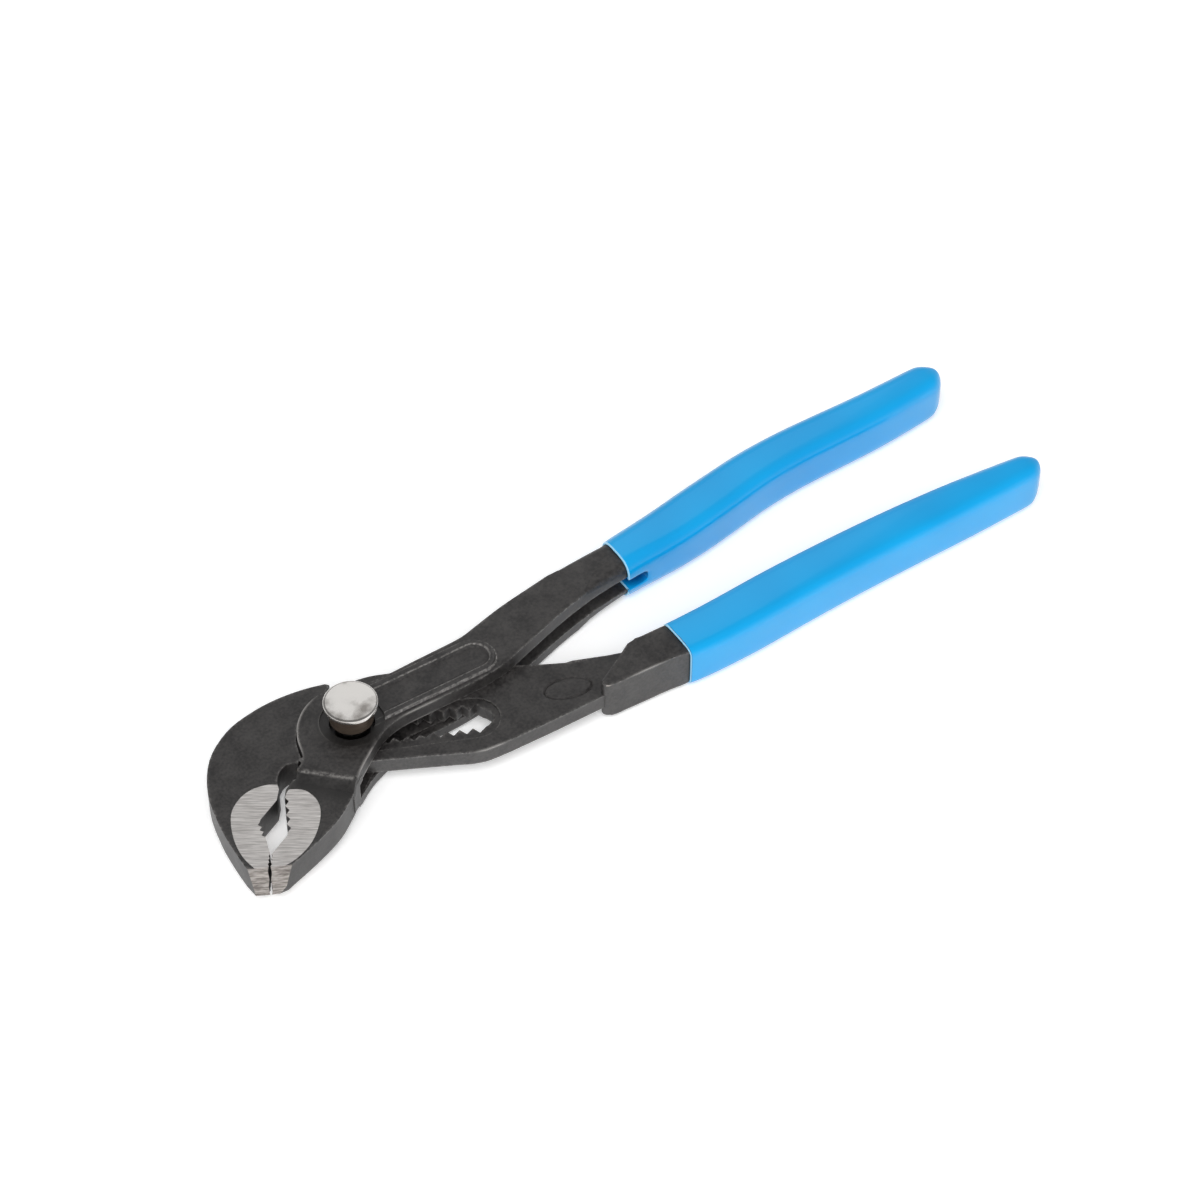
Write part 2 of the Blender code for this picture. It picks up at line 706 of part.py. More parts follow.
def make_spring_washer():
    """The cup washer on the ledge that the spring stands in, which the skirt slides over."""
    bottom = LEDGE_TOP + RUNNING_FIT / 2
    floor = bottom + WASHER_THICKNESS
    brim = CAP_CEILING - PRESS_TRAVEL - CLEARANCE
    profile = [
        (NECK_BORE, bottom),
        (CUP_RADIUS, bottom),
        (CUP_RADIUS, brim),
        (CUP_RADIUS - CUP_WALL, brim),
        (CUP_RADIUS - CUP_WALL, floor),
        (NECK_BORE, floor),
    ]
    return as_object("spring_washer", lathe(profile))


def make_button_spring():
    """The return spring as one helix of wire, with its least gap to itself printed."""
    radius = (NECK_RADIUS + CUP_RADIUS - CUP_WALL) / 2
    bottom = LEDGE_TOP + WASHER_THICKNESS + RUNNING_FIT + WIRE_DIAMETER / 2
    top = CAP_CEILING - WIRE_DIAMETER / 2 - RUNNING_FIT / 2
    count = round(SPRING_TURNS * 10)
    points = []
    for i in range(count + 1):
        angle = math.tau * SPRING_TURNS * i / count
        height = bottom + (top - bottom) * i / count
        points.append((radius * math.cos(angle), radius * math.sin(angle), height))
    apart = min(math.dist(p, q) for i, p in enumerate(points) for q in points[i + 6 :])
    print(f"button_spring: least gap to itself {apart - WIRE_DIAMETER:.2f} mm")
    curve = bpy.data.curves.new("button_spring", "CURVE")
    curve.dimensions = "3D"
    curve.bevel_depth = WIRE_DIAMETER / 2 * MM
    curve.bevel_resolution = 1
    curve.use_fill_caps = True
    spline = curve.splines.new("POLY")
    spline.points.add(count)
    for point, (x, y, z) in zip(spline.points, points):
        point.co = (x * MM, y * MM, z * MM, 1.0)
    obj = bpy.data.objects.new("button_spring", curve)
    bpy.context.scene.collection.objects.link(obj)
    return obj


# Grips
def rounded_section(half_width, half_height, corner):
    """A rounded rectangle across a handle, as points of side offset and height."""
    w, h = half_width - corner, half_height - corner
    points = []
    for x, z, start in ((w, h, 0), (-w, h, 90), (-w, -h, 180), (w, -h, 270)):
        points += arc((x, z), corner, start, start + 90, 4)
    return points


def corner_at(corners, distance):
    """The corner radius at a distance along a handle from the mouth of its grip."""
    for (a, before), (b, after) in zip(corners, corners[1:]):
        if distance <= b:
            return before + (after - before) * max(distance - a, 0.0) / (b - a)
    return corners[-1][1]


def covered_bar(stations, mouth, corners, lead, skin, mouth_skin):
    """The part of a handle that a grip covers, or its skin at a distance, with an end like a boat's bow.

    Its square start lies at the grip's mouth plus lead. The skin grows from mouth_skin there to skin.
    """
    line = station_line(stations, mouth + lead, stations[-1][0])
    heading = [(0.0, 1.0), *normals(line)[1:]]
    rows = [(s, n, 1.0, 0.0) for s, n in zip(line, heading)]
    reach = line[-1][2] + skin
    for i in range(1, END_ROWS):
        angle = math.radians(88.0) * i / (END_ROWS - 1)
        rows.append((line[-1], heading[-1], math.cos(angle), reach * math.sin(angle)))
    loops = []
    for (x, y, half), (nx, ny), share, ahead in rows:
        full_skin = min(max((x - mouth) / SKIN_LENGTH, 0.0), 1.0)
        grow = mouth_skin + (skin - mouth_skin) * full_skin
        corner = corner_at(corners, x - mouth) + grow
        width = (half + grow) * (END_BLUNTNESS + (1 - END_BLUNTNESS) * share)
        full = LEG_THICKNESS / 2 + grow
        height = full * (END_HEIGHT + (1 - END_HEIGHT) * share)
        section = rounded_section(width, height, min(corner, width * 0.95, height * 0.95))
        cx, cy, cz = x + ny * ahead, y - nx * ahead, MIDDLE + (full - height) * END_LIFT
        loops.append([(cx + nx * side, cy + ny * side, cz + z) for side, z in section])
    return loft(loops)


def make_fork_grip():
    """The grip of the fork leg, which also lines the end of the slot between the cheeks."""
    bar = (FORK_HANDLE, FORK_GRIP_MOUTH, FORK_CORNERS)
    grip = as_object("fork_grip", covered_bar(*bar, 0.0, GRIP_WALL, MOUTH_WALL))
    inside = as_object("inside", covered_bar(*bar, -BAR_OVERLAP, CLEARANCE, CLEARANCE))
    cut(inside, gap_solid(CLEARANCE))
    combine(grip, inside, "DIFFERENCE")
    cut(grip, gap_solid(SLOT_LINING))
    return grip


def make_rack_grip():
    """The grip of the rack leg."""
    bar = (RACK_HANDLE, RACK_GRIP_MOUTH, RACK_CORNERS)
    grip = as_object("rack_grip", covered_bar(*bar, 0.0, GRIP_WALL, MOUTH_WALL))
    cut(grip, covered_bar(*bar, -BAR_OVERLAP, CLEARANCE, CLEARANCE))
    return grip


# Finishes and assembly
FORGED_STEEL = ("forged_steel", (0.055, 0.055, 0.06), 0.45, 0.9)
BOLT_STEEL = ("bolt_steel", (0.16, 0.13, 0.11), 0.4, 1.0)
POLISHED_STEEL = ("polished_steel", (0.8, 0.8, 0.8), 0.15, 1.0)
SPRING_STEEL = ("spring_steel", (0.3, 0.3, 0.3), 0.35, 1.0)
BLUE_VINYL = ("blue_vinyl", (0.03, 0.3, 0.72), 0.3, 0.0)


def finish(obj, look):
    """Gives a piece its own Principled material."""
    name, colour, roughness, metallic = look
    material = bpy.data.materials.new(f"{obj.name}_{name}")
    material.use_nodes = True
    shader = material.node_tree.nodes["Principled BSDF"]
    shader.inputs["Base Color"].default_value = (*colour, 1.0)
    shader.inputs["Roughness"].default_value = roughness
    shader.inputs["Metallic"].default_value = metallic
    obj.data.materials.clear()
    obj.data.materials.append(material)


def to_metres(obj):
    """Rewrites a mesh from millimetres to metres and shades its round faces smooth."""
    for vertex in obj.data.vertices:
        vertex.co *= MM
    obj.data.shade_smooth()
    obj.data.set_sharp_from_angle(angle=math.radians(SMOOTH_ANGLE))


def main():
    """Builds every piece on the pivot axis and stands the assembly on its bottom centre."""
    for obj in list(bpy.data.objects):
        bpy.data.objects.remove(obj)
    pieces = [
        (make_fork_leg(), FORGED_STEEL),
        (make_rack_leg(), FORGED_STEEL),
        (make_pivot_bolt(), BOLT_STEEL),
        (make_button_cap(), POLISHED_STEEL),
        (make_spring_washer(), SPRING_STEEL),
        (make_fork_grip(), BLUE_VINYL),
        (make_rack_grip(), BLUE_VINYL),
    ]
    corners = []
    for obj, _ in pieces:
        to_metres(obj)
        corners += [v.co for v in obj.data.vertices]
    pieces.append((make_button_spring(), SPRING_STEEL))
    low = [min(c[k] for c in corners) for k in range(3)]
    high = [max(c[k] for c in corners) for k in range(3)]
    pivot = bpy.data.objects.new("pivot_axis", None)
    bpy.context.scene.collection.objects.link(pivot)
    pivot.location = (-(low[0] + high[0]) / 2, -(low[1] + high[1]) / 2, -low[2])
    for obj, look in pieces:
        obj.parent = pivot
        finish(obj, look)
    print("pivot axis at", [round(v, 6) for v in pivot.location])
    print("overall size", [round((b - a) / MM, 2) for a, b in zip(low, high)])


main()
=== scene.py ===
"""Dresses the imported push-button water pump pliers and sets them in a plain studio.

Sizes in the classes are in millimetres from the pivot axis, with z = 0 where the grips lie.
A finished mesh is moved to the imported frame, which is in metres.
"""

import json
import logging
import math
from collections.abc import Iterable, Sequence
from dataclasses import dataclass
from enum import Enum
from typing import Any

import bmesh
import bpy
from mathutils import Matrix, Vector


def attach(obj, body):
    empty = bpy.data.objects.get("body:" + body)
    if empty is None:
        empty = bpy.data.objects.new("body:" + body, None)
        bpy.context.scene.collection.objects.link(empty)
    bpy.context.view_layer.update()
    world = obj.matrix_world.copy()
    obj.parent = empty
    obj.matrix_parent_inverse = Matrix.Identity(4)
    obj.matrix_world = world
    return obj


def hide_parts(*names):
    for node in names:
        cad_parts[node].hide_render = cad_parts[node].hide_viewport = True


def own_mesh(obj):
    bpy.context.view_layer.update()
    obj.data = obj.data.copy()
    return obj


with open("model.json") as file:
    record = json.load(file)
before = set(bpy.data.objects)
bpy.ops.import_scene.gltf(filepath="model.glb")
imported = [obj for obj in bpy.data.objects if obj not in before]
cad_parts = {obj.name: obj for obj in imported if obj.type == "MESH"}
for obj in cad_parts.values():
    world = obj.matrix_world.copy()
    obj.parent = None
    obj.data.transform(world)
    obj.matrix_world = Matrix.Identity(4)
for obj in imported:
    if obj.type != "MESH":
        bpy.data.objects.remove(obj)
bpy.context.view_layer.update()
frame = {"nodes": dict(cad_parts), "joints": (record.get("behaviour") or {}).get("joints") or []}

LOG = logging.getLogger("pliers")
MM = 0.001
PIVOT = Vector(next(j for j in frame["joints"] if j["name"] == "handle_pivot")["pos_m"]) * Vector((1, 1, 0))
TO_FRAME = Matrix.Translation(PIVOT) @ Matrix.Scale(MM, 4)

# Heights that the pieces share
JAW_BOTTOM, JAW_TOP = 3.2, 11.2
PLATE_TOP = 9.0
MIDDLE = 7.2
HALF_LEG = 6.0

# Tolerances for merged points, joined flat faces and cuts
MERGED = 0.002
FLAT_TURN = math.radians(0.4)
CUT = 0.0005

Point2 = tuple[float, float]
Place = tuple[float, float, float]
Stations = tuple[Place, ...]
Tree = bpy.types.NodeTree
Node = bpy.types.Node
Socket = bpy.types.NodeSocket
Object = bpy.types.Object
Mesh = bmesh.types.BMesh
Face = bmesh.types.BMFace


class Body(Enum):
    """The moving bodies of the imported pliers."""

    FORK = "fork"
    PIVOT = "pivot_carrier"
    RACK = "rack"
    BUTTON = "button"


class Slot(Enum):
    """The record's material slots."""

    FORGED = "forged_steel"
    BOLT = "bolt_steel"
    POLISHED = "polished_steel"
    SPRING = "spring_steel"
    VINYL = "blue_vinyl"


def linear(colour: str) -> tuple[float, float, float, float]:
    """Turns an sRGB hex colour to linear RGBA.

    Args:
        colour: six hex digits after a hash sign.

    Returns:
        Linear red, green and blue, and an alpha of 1.
    """
    shares = [int(colour[i : i + 2], 16) / 255 for i in (1, 3, 5)]
    red, green, blue = (s / 12.92 if s <= 0.04045 else ((s + 0.055) / 1.055) ** 2.4 for s in shares)
    return red, green, blue, 1.0


def per_size(millimetres: float) -> float:
    """The scale that gives a texture on Object coordinates features of a size."""
    return 1 / (millimetres * MM)


def add_node(tree: Tree, kind: str, inputs: dict[str | int, Any] | None = None, **settings: Any) -> Node:
    """Adds a node with its settings and links.

    Args:
        tree: the node tree that gets the node.
        kind: the shader node's type.
        inputs: values and links by input; a socket is linked and anything else is set.
        settings: the node's own properties.

    Returns:
        The new node.
    """
    node = tree.nodes.new("ShaderNode" + kind)
    for name, value in settings.items():
        setattr(node, name, value)
    for key, value in (inputs or {}).items():
        if isinstance(value, Socket):
            tree.links.new(value, node.inputs[key])
        else:
            node.inputs[key].default_value = value
    return node


def spot(tree: Tree, place: Socket, centre: Place, full: float, none: float) -> Socket:
    """Draws a soft ball on Object coordinates.

    Args:
        tree: the material's node tree.
        place: the Object coordinates.
        centre: the ball's centre in millimetres.
        full: the distance up to which it is 1.
        none: the distance from which it is 0.

    Returns:
        The socket with its value.
    """
    middle = TO_FRAME @ Vector(centre)
    away = add_node(tree, "VectorMath", {0: place, 1: middle}, operation="DISTANCE")
    ball = add_node(
        tree,
        "MapRange",
        {"Value": away.outputs["Value"], "From Min": none * MM, "From Max": full * MM},
        interpolation_type="SMOOTHSTEP",
    )
    return ball.outputs[0]


def off_line(tree: Tree, place: Socket, start: Point2, end: Point2) -> Socket:
    """Measures the level distance to a straight line on Object coordinates.

    Args:
        tree: the material's node tree.
        place: the Object coordinates.
        start: the line's start in millimetres.
        end: the line's end.

    Returns:
        The socket with the distance in metres.
    """
    first = TO_FRAME @ Vector((*start, 0))
    run = TO_FRAME @ Vector((*end, 0)) - first
    offset = add_node(
        tree, "VectorMath", {0: place, 1: (1.0, 1.0, 0.0), 2: -first}, operation="MULTIPLY_ADD"
    )
    share = add_node(
        tree, "VectorMath", {0: offset.outputs[0], 1: run / run.length_squared}, operation="DOT_PRODUCT"
    )
    held = add_node(tree, "Clamp", {"Value": share.outputs["Value"]})
    nearest = add_node(tree, "VectorMath", {0: run, "Scale": held.outputs[0]}, operation="SCALE")
    away = add_node(tree, "VectorMath", {0: offset.outputs[0], 1: nearest.outputs[0]}, operation="DISTANCE")
    return away.outputs["Value"]


@dataclass(frozen=True)
class Finish:
    """A procedural finish on Object coordinates."""

    name: str
    slot: Slot

    def material(self) -> bpy.types.Material:
        """Makes the material.

        Returns:
            A material named for the finish.
        """
        made = bpy.data.materials.new(self.name)
        made.use_nodes = True
        tree = made.node_tree
        place = add_node(tree, "TexCoord").outputs["Object"]
        self.paint(tree, tree.nodes["Principled BSDF"], place)
        return made

    def paint(self, tree: Tree, shader: Node, place: Socket) -> None:
        """Fills the shader's sockets.

        Args:
            tree: the material's node tree.
            shader: its Principled shader.
            place: the Object coordinates.
        """
        raise NotImplementedError


@dataclass(frozen=True)
class Streak:
    """A soft straight streak on a forging, seen from above: its ends, half width, reach and strength."""

    start: Point2
    end: Point2
    half: float
    reach: float
    level: float

    def draw(self, tree: Tree, place: Socket) -> Socket:
        """Draws the streak.

        Args:
            tree: the material's node tree.
            place: the Object coordinates.

        Returns:
            The socket with its strength, which falls from level to 0 between half and reach.
        """
        away = off_line(tree, place, self.start, self.end)
        near, far = self.half * MM, self.reach * MM
        fade = {"Value": away, "From Min": near, "From Max": far, "To Min": self.level, "To Max": 0.0}
        return add_node(tree, "MapRange", fade).outputs[0]


@dataclass(frozen=True)
class BlackOxideForging(Finish):
    """Drop-forged chrome vanadium steel, shot blasted and black oxided.

    It gives the eye a satin near-black with a fine sandy grain, slow cloudy tones from the die, and grey
    rubbed edges that are rough and pale where the tool is handled; on the hub's left rim that wear is
    partly a painted highlight. A painted shade darkens it round the button and below the jaw's ramp.
    """

    name: str = "black_oxide_forged_steel"
    slot: Slot = Slot.FORGED
    # Spots of extra wear; the fork's spot on the hub's left rim is partly a painted highlight
    rub_and_highlight_spots: tuple[tuple[Place, float, float], ...] = ()
    scuffs: tuple[Streak, ...] = ()
    # Streaks of painted shade below the jaw's ramp
    ramp_shadows: tuple[Streak, ...] = ()
    # Painted shade round the button, where its head shades the hub: centre, full and none distances
    button_shade: tuple[Place, float, float] = ((0.0, 0.0, 13.2), 7.4, 10.6)
    pad: tuple[Point2, Point2] | None = None
    pad_rims: tuple[float, ...] = (4.2, 5.85)
    rim_half: float = 0.2
    scuff_foot: float = 12.7
    scuff_full: float = 13.0
    dark: str = "#1B1919"
    pale: str = "#3F3D3C"
    rubbed: str = "#9C9996"
    painted_shade_colour: str = "#141312"
    # The colour of the painted shade
    grain_size: float = 0.8
    wave_size: float = 5.0
    rub_size: float = 1.0
    rub_reach: float = 1.1
    relief: float = 0.12

    def rubbed_edges(self, tree: Tree, place: Socket, patch: Socket) -> Socket:
        """Finds the edges that are rubbed bare, apart from those under the painted shade round the button.

        Args:
            tree: the material's node tree.
            place: the Object coordinates.
            patch: the noise that breaks the wear into specks.

        Returns:
            A socket that is 1 on bare steel.
        """
        edge = add_node(tree, "AmbientOcclusion", {"Distance": self.rub_reach * MM}, inside=True, samples=8)
        bare = add_node(tree, "MapRange", {"Value": edge.outputs["AO"], "From Min": 0.82, "From Max": 0.5})
        speck = add_node(
            tree,
            "MapRange",
            {"Value": patch, "From Min": 0.44, "From Max": 0.66, "To Min": 0.03, "To Max": 0.6},
        ).outputs[0]
        # Spots raise the wear; the fork's spot on the hub's left rim is partly a painted highlight
        for rub_or_highlight in self.rub_and_highlight_spots:
            rubbed_or_highlit = spot(tree, place, *rub_or_highlight)
            speck = add_node(tree, "Math", {0: speck, 1: rubbed_or_highlit}, operation="MAXIMUM").outputs[0]
        worn = add_node(tree, "Math", {0: bare.outputs[0], 1: speck}, operation="MULTIPLY")
        # No wear is drawn under the painted shade round the button
        unshaded = add_node(tree, "Math", {0: 1.0, 1: spot(tree, place, *self.button_shade)}, operation="SUBTRACT")
        kept = add_node(tree, "Math", {0: worn.outputs[0], 1: unshaded.outputs[0]}, operation="MULTIPLY")
        return kept.outputs[0]

    def rubbed_lines(self, tree: Tree, place: Socket, patch: Socket) -> Socket | None:
        """Finds the bends and the pad's rims that are rubbed bare on the button's side.

        Args:
            tree: the material's node tree.
            place: the Object coordinates.
            patch: the noise that breaks the wear into specks.

        Returns:
            A socket that is 1 on bare steel, or None where there are none.
        """
        lines = [streak.draw(tree, place) for streak in self.scuffs]
        if self.pad:
            away = off_line(tree, place, *self.pad)
            for rim in self.pad_rims:
                line = add_node(
                    tree, "Math", {0: away, 1: rim * MM, 2: self.rim_half * MM}, operation="COMPARE"
                )
                lines.append(line.outputs[0])
        if not lines:
            return None
        worn = lines[0]
        for line in lines[1:]:
            worn = add_node(tree, "Math", {0: worn, 1: line}, operation="MAXIMUM").outputs[0]
        rough = add_node(
            tree, "MapRange", {"Value": patch, "From Min": 0.38, "From Max": 0.64, "To Max": 0.7}
        )
        broken = add_node(tree, "Math", {0: worn, 1: rough.outputs[0]}, operation="MULTIPLY")
        height = add_node(tree, "SeparateXYZ", {0: place}).outputs["Z"]
        foot, full = self.scuff_foot * MM, self.scuff_full * MM
        above = add_node(tree, "MapRange", {"Value": height, "From Min": foot, "From Max": full})
        kept = add_node(tree, "Math", {0: broken.outputs[0], 1: above.outputs[0]}, operation="MULTIPLY")
        return kept.outputs[0]

    def painted_shade(self, tree: Tree, place: Socket) -> Socket:
        """Finds where painted shade darkens the steel: round the button and in streaks below the jaw's
        ramp.

        Args:
            tree: the material's node tree.
            place: the Object coordinates.

        Returns:
            The socket with the share of painted shade.
        """
        painted_shade = spot(tree, place, *self.button_shade)
        for ramp_shadow in self.ramp_shadows:
            dark = ramp_shadow.draw(tree, place)
            painted_shade = add_node(tree, "Math", {0: painted_shade, 1: dark}, operation="MAXIMUM").outputs[0]
        shade_share = add_node(tree, "MapRange", {"Value": painted_shade, "To Max": 0.75})
        return shade_share.outputs[0]

    def paint(self, tree: Tree, shader: Node, place: Socket) -> None:
        """Fills the shader's sockets.

        Args:
            tree: the material's node tree.
            shader: its Principled shader.
            place: the Object coordinates.
        """
        # Blasting leaves a grain of about 0.15 mm, drawn coarser here so that it shows
        grain = add_node(
            tree,
            "TexNoise",
            {"Vector": place, "Scale": per_size(self.grain_size), "Detail": 4.0, "Roughness": 0.6},
        )
        wave = add_node(
            tree, "TexNoise", {"Vector": place, "Scale": per_size(self.wave_size), "Detail": 3.0}
        )
        patch = add_node(
            tree,
            "TexNoise",
            {"Vector": place, "Scale": per_size(self.rub_size), "Detail": 5.0, "Roughness": 0.7},
        )
        cloud = add_node(
            tree, "Math", {0: grain.outputs[0], 1: 2.0, 2: wave.outputs[0]}, operation="MULTIPLY_ADD"
        )
        mottle = add_node(tree, "MapRange", {"Value": cloud.outputs[0], "From Min": 1.15, "From Max": 1.85})
        tone = add_node(
            tree,
            "Mix",
            {0: mottle.outputs[0], 6: linear(self.dark), 7: linear(self.pale)},
            data_type="RGBA",
        )
        # Painted shade round the button and below the ramp darkens the tone
        shade_mixed = add_node(
            tree,
            "Mix",
            {0: self.painted_shade(tree, place), 6: tone.outputs[2], 7: linear(self.painted_shade_colour)},
            data_type="RGBA",
        )
        worn = self.rubbed_edges(tree, place, patch.outputs[0])
        lines = self.rubbed_lines(tree, place, patch.outputs[0])
        if lines:
            worn = add_node(tree, "Math", {0: worn, 1: lines}, operation="MAXIMUM").outputs[0]
        colour = add_node(
            tree, "Mix", {0: worn, 6: shade_mixed.outputs[2], 7: linear(self.rubbed)}, data_type="RGBA"
        )
        satin = add_node(
            tree,
            "MapRange",
            {"Value": grain.outputs[0], "From Min": 0.3, "From Max": 0.7, "To Min": 0.42, "To Max": 0.56},
        )
        height = add_node(
            tree, "Math", {0: wave.outputs[0], 1: 2.0, 2: grain.outputs[0]}, operation="MULTIPLY_ADD"
        )
        bump = add_node(
            tree, "Bump", {"Height": height.outputs[0], "Strength": 0.35, "Distance": self.relief * MM}
        )
        tree.links.new(colour.outputs[2], shader.inputs["Base Color"])
        tree.links.new(satin.outputs[0], shader.inputs["Roughness"])
        tree.links.new(bump.outputs[0], shader.inputs["Normal"])
        # The oxide film hides the metal and mirrors about twice as much as a plain coat
        shader.inputs["Specular IOR Level"].default_value = 0.92


@dataclass(frozen=True)
class GroundSteel(Finish):
    """Steel that a belt has ground flat on the sides of the jaws.

    It gives the eye a bright silver grey with fine straight lines that all run one way.
    """

    name: str = "belt_ground_steel"
    slot: Slot = Slot.FORGED
    dull: str = "#B8B4B1"
    bright: str = "#EAE6E3"
    line_heading: float = -33.7
    line_length: float = 5.0
    line_width: float = 0.24
    relief: float = 0.012

    def paint(self, tree: Tree, shader: Node, place: Socket) -> None:
        """Fills the shader's sockets.

        Args:
            tree: the material's node tree.
            shader: its Principled shader.
            place: the Object coordinates.
        """
        # A belt of this grit leaves lines about 0.1 mm apart, drawn coarser here so that they show
        turned = add_node(
            tree,
            "Mapping",
            {
                "Vector": place,
                "Rotation": (0.0, 0.0, math.radians(self.line_heading)),
                "Scale": (self.line_length * MM, self.line_width * MM, self.line_width * MM),
            },
            vector_type="TEXTURE",
        )
        lines = add_node(
            tree, "TexNoise", {"Vector": turned.outputs[0], "Scale": 1.0, "Detail": 3.0, "Roughness": 0.6}
        )
        tone = add_node(tree, "MapRange", {"Value": lines.outputs[0], "From Min": 0.35, "From Max": 0.65})
        colour = add_node(
            tree,
            "Mix",
            {0: tone.outputs[0], 6: linear(self.dull), 7: linear(self.bright)},
            data_type="RGBA",
        )
        gloss = add_node(
            tree,
            "MapRange",
            {"Value": lines.outputs[0], "From Min": 0.3, "From Max": 0.7, "To Min": 0.42, "To Max": 0.3},
        )
        bump = add_node(
            tree, "Bump", {"Height": lines.outputs[0], "Strength": 0.5, "Distance": self.relief * MM}
        )
        tree.links.new(colour.outputs[2], shader.inputs["Base Color"])
        tree.links.new(gloss.outputs[0], shader.inputs["Roughness"])
        tree.links.new(bump.outputs[0], shader.inputs["Normal"])
        shader.inputs["Metallic"].default_value = 0.55


@dataclass(frozen=True)
class PolishedNickel(Finish):
    """Nickel plate on a polished steel head.

    It gives the eye a near-white mirror, clouded by touch, with faint buffing marks.
    """

    name: str = "polished_nickel_plate"
    slot: Slot = Slot.POLISHED
    clear: str = "#F3F0EC"
    clouded: str = "#B9B4AF"
    cloud_size: float = 7.0
    buff_size: float = 0.6

    def paint(self, tree: Tree, shader: Node, place: Socket) -> None:
        """Fills the shader's sockets.

        Args:
            tree: the material's node tree.
            shader: its Principled shader.
            place: the Object coordinates.
        """
        cloud = add_node(
            tree, "TexNoise", {"Vector": place, "Scale": per_size(self.cloud_size), "Detail": 3.0}
        )
        buff = add_node(
            tree, "TexNoise", {"Vector": place, "Scale": per_size(self.buff_size), "Detail": 2.0}
        )
        touched = add_node(tree, "MapRange", {"Value": cloud.outputs[0], "From Min": 0.52, "From Max": 0.7})
        colour = add_node(
            tree,
            "Mix",
            {0: touched.outputs[0], 6: linear(self.clear), 7: linear(self.clouded)},
            data_type="RGBA",
        )
        gloss = add_node(
            tree,
            "MapRange",
            {"Value": cloud.outputs[0], "From Min": 0.4, "From Max": 0.7, "To Min": 0.12, "To Max": 0.3},
        )
        bump = add_node(tree, "Bump", {"Height": buff.outputs[0], "Strength": 0.15, "Distance": 0.01 * MM})
        tree.links.new(colour.outputs[2], shader.inputs["Base Color"])
        tree.links.new(gloss.outputs[0], shader.inputs["Roughness"])
        tree.links.new(bump.outputs[0], shader.inputs["Normal"])
        shader.inputs["Metallic"].default_value = 1.0


@dataclass(frozen=True)
class LatheSteel(Finish):
    """Steel as it comes from the lathe or the drawing die.

    It gives the eye a plain metal with fine rings across the axis of the turned piece.
    """

    name: str = "turned_steel"
    slot: Slot = Slot.BOLT
    dark: str = "#4A4038"
    pale: str = "#7B6C5F"
    ring_width: float = 0.3
    patch_size: float = 6.0
    metallic: float = 1.0

    def paint(self, tree: Tree, shader: Node, place: Socket) -> None:
        """Fills the shader's sockets.

        Args:
            tree: the material's node tree.
            shader: its Principled shader.
            place: the Object coordinates.
        """
        # Feed marks are about 0.1 mm apart, drawn coarser here so that they show
        rings = add_node(
            tree,
            "Mapping",
            {"Vector": place, "Scale": (self.patch_size * MM, self.patch_size * MM, self.ring_width * MM)},
            vector_type="TEXTURE",
        )
        mark = add_node(tree, "TexNoise", {"Vector": rings.outputs[0], "Scale": 1.0, "Detail": 3.0})
        colour = add_node(
            tree, "Mix", {0: mark.outputs[0], 6: linear(self.dark), 7: linear(self.pale)}, data_type="RGBA"
        )
        gloss = add_node(
            tree,
            "MapRange",
            {"Value": mark.outputs[0], "From Min": 0.3, "From Max": 0.7, "To Min": 0.45, "To Max": 0.28},
        )
        bump = add_node(tree, "Bump", {"Height": mark.outputs[0], "Strength": 0.4, "Distance": 0.02 * MM})
        tree.links.new(colour.outputs[2], shader.inputs["Base Color"])
        tree.links.new(gloss.outputs[0], shader.inputs["Roughness"])
        tree.links.new(bump.outputs[0], shader.inputs["Normal"])
        shader.inputs["Metallic"].default_value = self.metallic


@dataclass(frozen=True)
class DippedVinyl(Finish):
    """Plastisol vinyl that the hot handle was dipped in.

    It gives the eye a glossy even blue, with slow waves where the coat ran before it set, and a painted
    shade of deeper blue in the slot and the grip's other hollows.
    """

    name: str = "dipped_plastisol_vinyl"
    slot: Slot = Slot.VINYL
    deep: str = "#00A0E4"
    light: str = "#00ADF0"
    # Painted shade in the slot and the grip's hollows
    recess_shade: str = "#0560A8"
    wave_size: float = 16.0
    recess_shade_reach: float = 6.0

    def paint(self, tree: Tree, shader: Node, place: Socket) -> None:
        """Fills the shader's sockets.

        Args:
            tree: the material's node tree.
            shader: its Principled shader.
            place: the Object coordinates.
        """
        wave = add_node(
            tree, "TexNoise", {"Vector": place, "Scale": per_size(self.wave_size), "Detail": 0.0}
        )
        colour = add_node(
            tree, "Mix", {0: wave.outputs[0], 6: linear(self.deep), 7: linear(self.light)}, data_type="RGBA"
        )
        # Occlusion darkens the vinyl in its own hollows: painted shade
        depth = add_node(
            tree, "AmbientOcclusion", {"Distance": self.recess_shade_reach * MM}, only_local=True, samples=8
        )
        inside = add_node(
            tree, "MapRange", {"Value": depth.outputs["AO"], "From Min": 0.85, "From Max": 0.4}
        )
        recess_shaded = add_node(
            tree,
            "Mix",
            {0: inside.outputs[0], 6: colour.outputs[2], 7: linear(self.recess_shade)},
            data_type="RGBA",
        )
        bump = add_node(tree, "Bump", {"Height": wave.outputs[0], "Strength": 0.5, "Distance": 0.3 * MM})
        tree.links.new(recess_shaded.outputs[2], shader.inputs["Base Color"])
        tree.links.new(bump.outputs[0], shader.inputs["Normal"])
        shader.inputs["Roughness"].default_value = 0.3
        shader.inputs["IOR"].default_value = 1.5
        shader.inputs["Coat Weight"].default_value = 0.4
        shader.inputs["Coat Roughness"].default_value = 0.08


